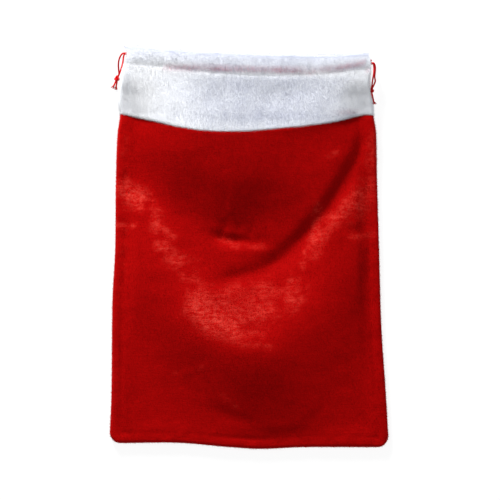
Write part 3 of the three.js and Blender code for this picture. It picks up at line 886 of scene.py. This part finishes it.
class SackSewing(bpy.types.PropertyGroup):
    """Sizes of the rows of sewing."""

    stitch_pitch: bpy.props.FloatProperty(
        name="Stitch pitch", description="From one stitch to the next", unit="LENGTH", default=0.0034,
        min=0.001, max=0.01)
    thread_width: bpy.props.FloatProperty(
        name="Thread width", description="Thickness of the thread", unit="LENGTH", default=0.0007, min=0.0002,
        max=0.002)


class SackStage(bpy.types.PropertyGroup):
    """The floor, the light and the camera."""

    key_power: bpy.props.FloatProperty(
        name="Key light", description="Power of the large soft light beyond the mouth", default=150.0, min=0)
    fill: bpy.props.FloatProperty(
        name="Fill", description="Brightness of the light from all round", default=0.42, min=0)


# The camera: lens and sensor, the width that it takes in at the level of the cloth, and the point under it
LENS, SENSOR = 250.0, 36.0
VIEW_WIDTH = 0.740
CLOTH_LEVEL = 0.005
AIM = (0.00148, -0.0037)
# The key light beyond the mouth, and the floor
KEY_PLACE, KEY_SIZE = (-0.92, 2.45, 1.10), 0.7
FLOOR_REACH, FLOOR_LEVEL = 3500, -0.6


class SACK_OT_stage(bpy.types.Operator):
    """Make the camera, the light and the pale floor"""

    bl_idname = "sack.stage"
    bl_label = "Stage"

    def execute(self, context):
        settings = context.scene.sack_stage
        camera = bpy.data.cameras.new("camera")
        camera.lens, camera.sensor_width, camera.clip_end = LENS, SENSOR, 20.0
        holder = bpy.data.objects.new("camera", camera)
        holder.location = (*AIM, CLOTH_LEVEL + VIEW_WIDTH * camera.lens / camera.sensor_width)
        context.scene.collection.objects.link(holder)
        context.scene.camera = holder
        self.light(context, "key", KEY_PLACE, KEY_SIZE, settings.key_power)
        world = bpy.data.worlds.new("studio")
        world.use_nodes = True
        background = world.node_tree.nodes["Background"]
        background.inputs["Color"].default_value = (0.96, 0.98, 1.0, 1)
        background.inputs["Strength"].default_value = settings.fill
        context.scene.world = world
        context.scene.view_settings.view_transform = "Standard"
        material, graph = new_material("floor")
        grain = graph.noise(3.0, (1, 1, 1), 2, 0.5)
        tint = graph.blend((grain * 0.5 + 0.5).clamped(), (0.14, 0.14, 0.14, 1), (0.16, 0.16, 0.16, 1))
        finish_material(graph, material,
                        {"Emission Color": (1, 1, 1, 1), "Emission Strength": 0.9, "Specular IOR Level": 0.1},
                        {"Base Color": tint, "Roughness": 0.9 + grain * 0.05})
        signs = ((-1, -1), (1, -1), (1, 1), (-1, 1))
        corners = [(x * FLOOR_REACH, y * FLOOR_REACH, FLOOR_LEVEL) for x, y in signs]
        floor = make_mesh("floor", corners, [(0, 1, 2, 3)], [material])
        return {"FINISHED"}

    @staticmethod
    def light(context, name, place, size, power):
        data = bpy.data.lights.new(name, "AREA")
        data.shape, data.size, data.energy = "SQUARE", size, power
        lamp = bpy.data.objects.new(name, data)
        lamp.location = place
        lamp.rotation_euler = (-Vector(place)).to_track_quat("-Z", "Y").to_euler()
        context.scene.collection.objects.link(lamp)


class SACK_OT_drawcords(bpy.types.Operator):
    """Make both drawcords: their runs in the channels, their free strands, knots and tails"""

    bl_idname = "sack.drawcords"
    bl_label = "Drawcords"

    def execute(self, context):
        settings = context.scene.sack_cord
        radius = settings.diameter / 2 / MM
        material = thread_material("twisted_cord", opaque(settings.cord_colour),
                                   {"Specular IOR Level": 0.12})
        for side, lift in (("left", CORD_OFFSET), ("right", -CORD_OFFSET)):
            self.cord(side, lift, radius, material)
        return {"FINISHED"}

    def cord(self, side, lift, radius, material):
        body, loop, outward = f"{side}_drawcord", LOOPS[side], OUTWARD[side]
        far = EXITS["right" if side == "left" else "left"]
        levels = {"front": FRONT_CORD_LEVEL, "back": BACK_CORD_LEVEL}
        for layer, level in levels.items():
            ends = [(*LEFT_EXIT, level), (*RIGHT_EXIT, level)]
            short = 4.0 * outward
            run = smooth_path([(x + (short if (x, y) == far else 0), y + lift, z) for x, y, z in ends], 0.8)
            ride(rope_piece(f"{side}_{layer}_run_rope", run, radius, material), body, "red_cord",
                 f"{side}_cord_{layer}_run")
        o = -outward
        turn = [(far[0] + o * reach, far[1] + lift, level) for reach, level in
                ((-5, 25), (-2.6, 24.7), (-1.2, 22), (-0.8, 14.5), (-1.2, 7), (-2.6, 4.3), (-5, 4))]
        ride(rope_piece(f"{side}_far_turn_rope", smooth_path(turn, 0.5), radius, material), "sack",
             "red_cord",
             f"{side}_cord_far_turn")
        centre, radii, angle = loop["knot"]
        tube = radius * 0.98
        knot = rope_piece(f"{side}_overhand_knot", knot_path(centre, radii, angle, tube), tube, material,
                          closed=True)
        ride(knot, body, "red_cord", f"{side}_cord_knot")
        tails = []
        for i, (word, points) in enumerate(zip(("first", "second"), loop["tails"])):
            tail = tail_piece(f"{side}_{word}_tail_rope", points, radius, material, loop["fray"], 40 + i)
            tails.append(ride(tail, body, "red_cord", f"{side}_cord_{word}_tail"))
        for layer, pieces in (("front", [knot, *tails]), ("back", [knot])):
            path = smooth_path(loop[layer], 0.35)
            strand = rope_piece(f"{side}_{layer}_strand_rope", path, radius, material)
            ride(strand, body, "red_cord", f"{side}_cord_{layer}_strand")
            exit_point = tuple(c * MM for c in loop[layer][1])


# Painted light and painted shade on the red pile, partly its nap: where it is painted lighter or darker:
# middle, half widths and amount.
NAP_LIGHT_AND_SHADE_PATCHES = [
    ((-170, 76), (18, 10), 0.55), ((-6, -88), (85, 38), 0.3), ((31, -205), (50, 48), -0.35),
    ((40, 110), (60, 60), -0.35), ((-10, 60), (45, 40), -0.6), ((-60, 150), (60, 34), -0.3),
    ((-184, 150), (12, 60), 0.25),
    ((-186, -20), (14, 90), 0.2), ((-150, -180), (40, 60), 0.1), ((183, 140), (12, 50), 0.4),
    ((0, -284), (190, 8), 0.1),
    ((-95, 95), (40, 50), -0.35), ((150, -80), (24, 60), -0.15), ((-90, -20), (40, 14), 0.2),
    ((-10, 170), (50, 20), -0.2),
    ((-55, -95), (32, 32), 0.35), ((100, 55), (12, 26), 0.5), ((166, 66), (24, 52), 0.3),
]
# Painted highlight trails, where the tips of the red pile are painted as catching the light: points, reach to
# each side, and amounts.
PAINTED_HIGHLIGHT_TRAILS = [
    ([(-184, 83), (-161, 71.5), (-147, 49), (-124, 18), (-127, -2), (-107, -25), (-87, -53), (-79, -93),
      (-39, -124),
      (29, -141)], 18, 16, (0.8, 1.7, 0.9, 1.1, 0.7, 0.6, 1.0, 1.0, 0.9, 0.5)),
    ([(-22, -99), (52, -87), (77, -28), (105, 29), (145, 63), (168, 84)], 11, 19,
     (0.4, 0.6, 0.7, 1.1, 0.9, 0.4)),
    ([(-50, 15), (-22, 6), (20, 3.5)], 7, 9, (0.4, 1.2, 0.6)),
    ([(145, 15), (185, 17.5)], 6, 5, (0.4, 1.3)),
    ([(-195, 33), (-169, 33)], 5, 6, (0.5, 0.6)),
    ([(-20, -70), (20, -56), (63, -70)], 24, 22, (0.4, 0.5, 0.4)),
    ([(100, 128), (128, 140)], 9, 9, (0.2, 0.6)),
    ([(-110, -186), (-70, -176)], 6, 8, (0.35, 0.4)),
    ([(-55, -205), (-20, -235)], 12, 12, (0.3, 0.5)),
]
# Painted shade on the white cuff: where it is painted greyer, or lighter where the amount is below 0: middle,
# half widths and amount; and where a cord shows pink through it.
PAINTED_CUFF_SHADE = [
    ((50, 225), (80, 60), 0.42), ((130, 225), (60, 60), 0.12), ((-45, 225), (60, 60), 0.34),
    ((-150, 235), (50, 60), -0.1),
    ((-177, 240), (3, 30), 0.2), ((60, 192), (120, 8), 0.2), ((165, 232), (24, 30), -0.3),
    ((60, 257.5), (130, 5), -0.45), ((-120, 264), (60, 9), -0.25), ((-160, 225), (30, 30), -0.45),
]
BLUSHED = [((-127, 266), (0, 262.5)), ((0, 262.5), (90, 259.5)), ((90, 259.5), (127, 263.5)),
           ((127, 263.5), (173, 272.5))]
# The second spot is a painted reflection: the red cloth's colour cast onto the white just above the seam.
BLUSH_AND_RED_REFLECTION_SPOTS = [((176, 261), (5, 5), 0.6), ((148, 199), (17, 5), 0.4)]


def nap_light_and_shade(x, y):
    """How much painted light or painted shade the red pile gets, partly its nap, about 0."""
    broken = 0.55 + 0.45 * soft_noise(x, y, (22, 15), 21) + 0.3 * soft_noise(x, y, (10, 8), 22)
    painted_highlights = sum(crease_height(x, y, *trail) for trail in PAINTED_HIGHLIGHT_TRAILS)
    return patches(x, y, NAP_LIGHT_AND_SHADE_PATCHES) + painted_highlights * np.clip(broken, 0.05, 1.3) + 0.1 * soft_noise(x, y, (9, 6), 23)


def edge_comb(across, along, reach):
    """The comb of the pile near the cut edges: away from the middle, fading over reach."""
    left = bell(across, reach)
    right = bell(CUT_WIDTH - across, reach)
    bottom = bell(along, reach)
    return right - left, -bottom


class SACK_OT_red_panels(bpy.types.Operator):
    """Make the red front with its folds and thick turned-in border, and the flat red back"""

    bl_idname = "sack.red_panels"
    bl_label = "Red panels"

    def execute(self, context):
        material = red_plush_material(context.scene.sack_cloth)
        columns = spaced(CUT_WIDTH, ROLL, ROLL, 3.0)
        rows = spaced(RED_LENGTH, ROLL, SEAM_STEPS, 3.0)
        across, along = np.meshgrid(columns, rows)
        x, y = place_on_red(across, along)
        distance = np.minimum(from_side(across), along)
        border = in_allowance(distance)
        top = front_height(across, along)
        inner = mix(top - CLOTH, SEAM_LEVEL - 0.1, border)
        sideways, down = edge_comb(across, along, 9.0)
        # tone picks shaded or lit copies of the red pile from the painted light and shade.
        fields = {"nap_and_painted_light": nap_light_and_shade(x, y), "pile": np.ones_like(x), "tone": 1.5 + 1.5 * nap_light_and_shade(x, y)}
        comb = np.stack([sideways * 1.3, down * 1.3 - 0.7 * (1 - np.abs(sideways)), np.zeros_like(x)], -1)
        self.panel("front_panel", x, y, top, inner, fields, comb, material)

        rise = SEAM_LEVEL - rolled(distance, SEAM_LEVEL + 5.3) + SEAM_LEVEL
        floor = np.maximum(rise, 0) + 0.15 * (1 + soft_noise(x, y, (30, 30), 31))
        inside = np.maximum(mix(floor + CLOTH, SEAM_LEVEL - 0.2, border), floor)
        fields = {"nap_and_painted_light": 0.1 + 0.3 * soft_noise(x, y, (26, 11), 32), "tone": np.full_like(x, 1.4),
                  "pile": 0.12 + 0.88 * bell(distance, 9)}
        self.panel("back_panel", x, y, floor, inside, fields, comb, material)
        return {"FINISHED"}

    @staticmethod
    def panel(name, x, y, outside, inside, fields, comb, material):
        grids = [np.stack([x, y, outside], -1), np.stack([x, y, inside], -1)]
        if name == "back_panel":
            grids.reverse()
            shown = [np.zeros_like(x), fields["pile"]]
        else:
            shown = [fields["pile"], np.zeros_like(x)]
        vertices, faces = closed_sheet(*grids)
        both = {key: np.stack([value, value]) for key, value in fields.items()}
        both.update(pile=np.stack(shown), comb=np.stack([comb, comb]))
        piece = make_mesh(f"{name}_cloth", vertices, faces, [material], both)
        ride(face_outwards(piece), "sack", "red_plush", name)


def cuff_section(line, mouth, top):
    """The fold of the channel in one column, as (y, z) on the middle of the cloth.

    It runs from the stitched line, round the mouth, to the end of the hem.
    """
    lower = top - CHANNEL_HEIGHT
    middle, half = lower + CHANNEL_HEIGHT / 2, CHANNEL_HEIGHT / 2 - 1
    bend = np.linspace(75, -75, 9) * math.pi / 180
    return ([(line - 2.5, middle + 1.65), (line, middle + 1.45), (line + 1.5, middle + 1.7),
             (line + 3.2, middle + 2.0),
             (line + 5.4, middle + 2.35), (line + 8.5, middle + 2.7), ((line + mouth) / 2, middle + half),
             (mouth - 7, middle + half)]
            + [(mouth - 1 - half + half * math.cos(a), middle + half * math.sin(a)) for a in bend]
            + [(mouth - 7, middle - half), ((line + mouth) / 2, middle - half), (line + 8.5, middle - half),
               (line + 5.4, middle - half + 0.05), (line + 3.2, middle - half + 0.3),
               (line + 1.5, middle - half + 0.8),
               (line, middle - 1.85), (line - 2.5, middle - 1.9), (line - HEM_LAP, middle - 1.9)])


class SACK_OT_white_cuffs(bpy.types.Operator):
    """Make the white cuffs, each one strip turned over at the mouth and stitched down as a cord channel"""

    bl_idname = "sack.white_cuffs"
    bl_label = "White cuffs"

    def execute(self, context):
        material = white_plush_material(context.scene.sack_cloth)
        self.cuff("front_cuff", material)
        self.cuff("back_cuff", material)
        return {"FINISHED"}

    def cuff(self, name, material):
        front = name == "front_cuff"
        columns = spaced(CUT_WIDTH, ROLL, ROLL, 3.0)
        rows = np.array([0, 0.6, 1.3, 2.2, 3.4, 5, 7.5, 10.5, 14, *range(18, 63, 4)]) / 64
        rows = np.append(rows, [0.975, 1.0])
        across, up = np.meshgrid(columns, rows)
        distance = from_side(across)
        x, y, top = cuff_height(across, up)
        sewn = (1 - smooth(up, CUFF_SEAM_END, 0.92)) * in_allowance(distance)
        if front:
            outside, inside = top, mix(top - 2.0, SEAM_LEVEL - 0.1, sewn)
            crown = FRONT_CHANNEL_BASE + CHANNEL_HEIGHT
        else:
            lifted = (1 - smooth(up, 0.52, 0.98)) * (2 * SEAM_LEVEL - rolled(distance, 2 * SEAM_LEVEL))
            outside = np.maximum(lifted, 2.45 * smooth(up, 0.6, 0.98))
            inside = np.maximum(mix(outside + 2.0, SEAM_LEVEL - 0.2, sewn), outside)
            crown = CHANNEL_HEIGHT
        outer = [np.stack([x, y, outside], -1)]
        inner = [np.stack([x, y, inside], -1)]
        columns_outer, columns_inner = [], []
        for i, a in enumerate(columns):
            line, mouth = float(channel_line(a)), float(mouth_edge(a))
            edge = float(place_at(a, mouth))
            beyond = 0 if front else 1.3 * float(smooth(edge, -60, -20))
            mouth += 0.55 * float(soft_noise(edge, 0, (15, 10), 41)) + beyond
            section = np.array(cuff_section(line, mouth, crown))
            if not front:
                section[:, 1] = CHANNEL_HEIGHT - section[:, 1]
            steps = np.gradient(section, axis=0)
            steps /= np.linalg.norm(steps, axis=1)[:, None]
            square = np.stack([-steps[:, 1], steps[:, 0]], 1) * (1 if front else -1)
            broad, fine = (float(soft_noise(edge, *row)) for row in ((1.0, (9, 10), 42),
                                                                     (2.0, (4.5, 10), 43)))
            plump = 1.0 + 0.28 * broad + 0.2 * fine
            for target, offset in ((columns_outer, plump), (columns_inner, -0.95)):
                at = section + square * offset
                target.append(np.stack([place_at(a, at[:, 0]), at[:, 0], at[:, 1]], 1))
        outer.append(np.array(columns_outer).transpose(1, 0, 2))
        inner.append(np.array(columns_inner).transpose(1, 0, 2))
        outer, inner = np.concatenate(outer), np.concatenate(inner)
        piece = self.strip(name, outer, inner, len(rows), front, material)
        ride(face_outwards(piece), "sack", "white_plush", name)

    @staticmethod
    def strip(name, outer, inner, below, front, material):
        x, y = outer[..., 0], outer[..., 1]
        count = outer.shape[0]
        order = np.arange(count)[:, None] + np.zeros_like(x)
        across = CUT_WIDTH * (x - left_edge(y)) / (right_edge(y) - left_edge(y))
        shown = 1 - smooth(order, below + 13, below + 17)
        if not front:
            shown = shown * (0.25 + 0.75 * np.maximum(bell(from_side(across), 10),
                                                    smooth(order, below + 5, below + 8)))
        # shade is painted shade: greyer patches, lighter ones below 0, a greyer channel top, strong grey over
        # the lit bend of the mouth, more on the left.
        shade = patches(x, y, PAINTED_CUFF_SHADE)
        shade = shade + 0.06 * soft_noise(x, y, (30, 22), 45) + 0.06 * soft_noise(x, y, (9, 9), 46)
        shade = shade + 0.12 * smooth(order, below + 2, below + 5)
        shade = shade + 0.72 * smooth(order, below + 6.2, below + 9)
        shade = shade + 0.14 * (1 - smooth(x, -130, -20)) * smooth(order, below + 3, below + 7)
        blush = patches(x, y, BLUSH_AND_RED_REFLECTION_SPOTS)
        for (ax, ay), (bx, by) in BLUSHED:
            share = np.clip((x - ax) / (bx - ax), 0, 1)
            blush = np.maximum(blush, 0.8 * bell(y - mix(ay, by, share) + 0.6, 4.4)
                               * ((x >= ax) & (x <= bx)) * (0.8 + 0.5 * soft_noise(x, y, (22, 9), 47)))
        sideways = bell(CUT_WIDTH - across, 9) - bell(across, 9)
        over = smooth(order, below + 2, below + 9)
        comb = np.stack([sideways * 1.3 + 0.35 * soft_noise(x, y, (20, 20), 48), mix(-0.9, 0.8, over),
                         -0.3 * smooth(order, below + 10, below + 15)], -1)
        # tone picks shaded or lit copies of the white pile from the painted shade and the pink.
        fields = {"shade": shade, "blush": blush, "pile": shown * (1 + 4.0 * (order < 3.5)),
                  "tone": 2.4 - 2.6 * shade - 1.5 * blush, "comb": comb}
        vertices, faces = closed_sheet(outer, inner)
        both = {key: np.stack([value, np.zeros_like(value) if key == "pile" else value])
                for key, value in fields.items()}
        return make_mesh(f"{name}_cloth", vertices, faces, [material], both)


# Each cloth's pile: the cloth, its plush, hairs on a square metre, how upright they stand, and the seed
PILES = (
    ("front_panel", "red_plush", 420e3, 0.55, 11),
    ("back_panel", "red_plush", 330e3, 0.45, 12),
    ("front_cuff", "white_plush", 1.15e6, 0.5, 13),
    ("back_cuff", "white_plush", 700e3, 0.4, 14),
)
HAIR_WIDTH = 0.00034
HAIR_SCATTER = 0.38


class SACK_OT_pile(bpy.types.Operator):
    """Grow the hairs of both plush cloths"""

    bl_idname = "sack.pile"
    bl_label = "Pile"

    def execute(self, context):
        settings = context.scene.sack_cloth
        red, white = opaque(settings.red_colour), opaque(settings.white_colour)
        # The tones are shaded and lit copies of each plush: painted shade and painted highlights on the
        # hairs.
        red_tones = tone_materials("red_pile", [
            tinted(red, colour("3a0000"), 0.6), red, tinted(red, colour("d8120e"), 0.45),
            tinted(red, colour("f8382c"), 0.7)],
            RED_SHEEN)
        white_tones = tone_materials("white_pile", [
            tinted(white, colour("9fa4bb"), 0.8), tinted(white, colour("b8bccd"), 0.7), white,
            tinted(white, colour("ffffff"), 0.6)],
            {"Sheen Weight": 0.3, "Sheen Roughness": 0.5, "Specular IOR Level": 0.1})
        tree = pile_tree(4)
        plushes = {"red_plush": (settings.red_pile, red_tones),
                   "white_plush": (settings.white_pile, white_tones)}
        for host, slot, density, upright, seed in PILES:
            length, tones = plushes[slot]
            values = {"Density": density, "Length": length, "Width": HAIR_WIDTH, "Upright": upright,
                      "Scatter": HAIR_SCATTER, "Seed": seed,
                      **{f"Tone {i + 1}": tone for i, tone in enumerate(tones)}}
            piece = grown(f"{host}_pile", bpy.data.objects[f"{host}_cloth"], tree, values, "lie")
            ride(piece, "sack", slot)
        return {"FINISHED"}


def stitch_tree():
    """One plump stitch along each edge of a path, a little shorter than the edge."""
    tree = Tree("stitches", {"Width": float, "Fill": float, "Thread": bpy.types.Material})
    ends = tree.node("GeometryNodeInputMeshEdgeVertices").outputs
    run = tree.vector("SUBTRACT", ends["Position 2"], ends["Position 1"])
    kept = tree.store(tree.inputs["Geometry"], "run", run, "FLOAT_VECTOR", "EDGE")
    points = tree.node("GeometryNodeMeshToPoints", {"mode": "EDGES"}, {"Mesh": kept}).outputs[0]
    along = tree.named("run", "FLOAT_VECTOR")
    turned = tree.value("FunctionNodeAlignRotationToVector", {"axis": "X"}, {"Vector": along})
    bead = tree.node("GeometryNodeMeshUVSphere", None, {"Segments": 6, "Rings": 5, "Radius": 0.5}).outputs[0]
    laid = tree.value("GeometryNodeTransform", None, {"Geometry": bead, "Rotation": (0, math.pi / 2, 0)})
    length = tree.vector("LENGTH", along, output=1) * tree.number("Fill")
    size = tree.value("ShaderNodeCombineXYZ", None, [length, tree.number("Width"), tree.number("Width")])
    placed = tree.node("GeometryNodeInstanceOnPoints", None,
                       {"Points": points, "Instance": laid, "Rotation": turned, "Scale": size}).outputs[0]
    whole = tree.node("GeometryNodeRealizeInstances", None, [placed]).outputs[0]
    done = tree.node("GeometryNodeSetMaterial", None,
                     {"Geometry": whole, "Material": tree.inputs["Thread"]}).outputs[0]
    return tree.finish(done)


def perimeter(inset, level):
    """Points round the sides and the bottom at that distance from the cut edge, left cuff to right cuff."""
    aside = np.linspace(0, 1, 40)
    steps = np.linspace(RED_LENGTH, inset + 6, 120)
    left = [(inset, s) for s in steps] + [(inset + 2, inset + 2)]
    bottom = [(a, inset) for a in np.linspace(inset + 6, CUT_WIDTH - inset - 6, 110)]
    right = [(CUT_WIDTH - a, s) for a, s in reversed(left)]
    red = np.array(left + bottom + right)
    x, y = place_on_red(red[:, 0], red[:, 1])
    ends = []
    for across in (inset, CUT_WIDTH - inset):
        low, high = float(cuff_seam(across)), float(channel_line(across)) - HEM_LAP
        rise = low + 1 + (high - low) * CUFF_SEAM_END * aside
        ends.append(np.stack([place_at(across, rise), rise], 1))
    path = np.vstack([ends[0][::-1], np.stack([x, y], 1), ends[1]])
    return np.column_stack([path, np.full(len(path), level)])


def zigzag(path, pitch, swing):
    """A path that crosses from side to side, square to its own travel."""
    even = smooth_path(path, pitch)
    sides, _ = frames_along(even)
    return even + sides * (np.where(np.arange(len(even)) % 2, swing, -swing))[:, None]


class SACK_OT_sewing(bpy.types.Operator):
    """Sew the seams, the overlock, the channel rows and the bar tacks, stitch by stitch"""

    bl_idname = "sack.sewing"
    bl_label = "Sewing"

    def execute(self, context):
        settings = context.scene.sack_sewing
        pitch = settings.stitch_pitch / MM
        self.width = settings.thread_width
        self.tree = stitch_tree()
        self.threads = {
            "red_thread": thread_material("red_thread", colour("a01014"), {"Specular IOR Level": 0.4}),
            "white_thread": thread_material("white_thread", colour("e9ebf2"), {"Specular IOR Level": 0.4}),
        }
        self.sew("perimeter_seam_thread", smooth_path(perimeter(2.5, SEAM_LEVEL), pitch), "red_thread", 0.9)
        self.sew("perimeter_overlock", zigzag(perimeter(ALLOWANCE + 1.4, SEAM_LEVEL), 2.2, 2.0), "red_thread",
                 1.0)
        columns = np.linspace(4, CUT_WIDTH - 4, 180)
        seam = cuff_seam(columns)
        x = place_at(columns, seam)
        front = front_height(columns, np.full_like(columns, RED_LENGTH)) + 0.15
        self.sew("front_join_thread", smooth_path(np.column_stack([x, seam, front]), pitch), "red_thread",
                 0.85)
        self.sew("back_join_thread", smooth_path(np.column_stack([x, seam, np.full_like(x, 2.6)]), pitch),
                 "red_thread", 0.85)
        line = channel_line(columns)
        x = place_at(columns, line)
        for layer, level in (("front", 26.55), ("back", 2.4)):
            row = np.column_stack([x, line, np.full_like(x, level)])
            self.sew(f"{layer}_channel_stitch", smooth_path(row, pitch), "white_thread", 0.85)
            for side, across in (("left", 13.0), ("right", CUT_WIDTH - 13.0)):
                span = across + np.linspace(-6.5, 6.5, 12)
                y = channel_line(span)
                proud = 0.15 if layer == "front" else -0.15
                tack = np.column_stack([place_at(span, y), y, np.full_like(y, level + proud)])
                self.sew(f"{layer}_{side}_bar_tack", zigzag(tack, 0.8, 1.1), "white_thread", 1.0)
        return {"FINISHED"}

    def sew(self, name, path, slot, fill):
        host = make_mesh(f"{name}_path", path, [], [], edges=[(i, i + 1) for i in range(len(path) - 1)])
        piece = grown(f"{name}_stitches", host, self.tree,
                      {"Width": self.width, "Fill": fill, "Thread": self.threads[slot]})
        bpy.data.objects.remove(host)
        ride(face_outwards(piece), "sack", slot, name)


class VIEW3D_PT_gift_sack(bpy.types.Panel):
    """Lists what the sack is made of"""

    bl_label = "Gift sack"
    bl_space_type = "VIEW_3D"
    bl_region_type = "UI"
    bl_category = "Gift sack"

    def draw(self, context):
        for key, group in SETTINGS.items():
            box = self.layout.box()
            for name in group.__annotations__:
                box.prop(getattr(context.scene, key), name)
        for step in STEPS:
            self.layout.operator(step.bl_idname)


SETTINGS = {"sack_cloth": SackCloth, "sack_cord": SackCord, "sack_sewing": SackSewing,
            "sack_stage": SackStage}
STEPS = (SACK_OT_stage, SACK_OT_drawcords, SACK_OT_red_panels, SACK_OT_white_cuffs, SACK_OT_pile,
         SACK_OT_sewing)
CLASSES = (*SETTINGS.values(), *STEPS, VIEW3D_PT_gift_sack)


def register():
    for cls in CLASSES:
        bpy.utils.register_class(cls)
    for key, group in SETTINGS.items():
        setattr(bpy.types.Scene, key, bpy.props.PointerProperty(type=group))


def unregister():
    for key in SETTINGS:
        delattr(bpy.types.Scene, key)
    for cls in reversed(CLASSES):
        bpy.utils.unregister_class(cls)


def main():
    register()
    bpy.ops.sack.stage()
    bpy.ops.sack.drawcords()
    bpy.ops.sack.red_panels()
    bpy.ops.sack.white_cuffs()
    bpy.ops.sack.pile()
    bpy.ops.sack.sewing()


if __name__ == "__main__":
    main()
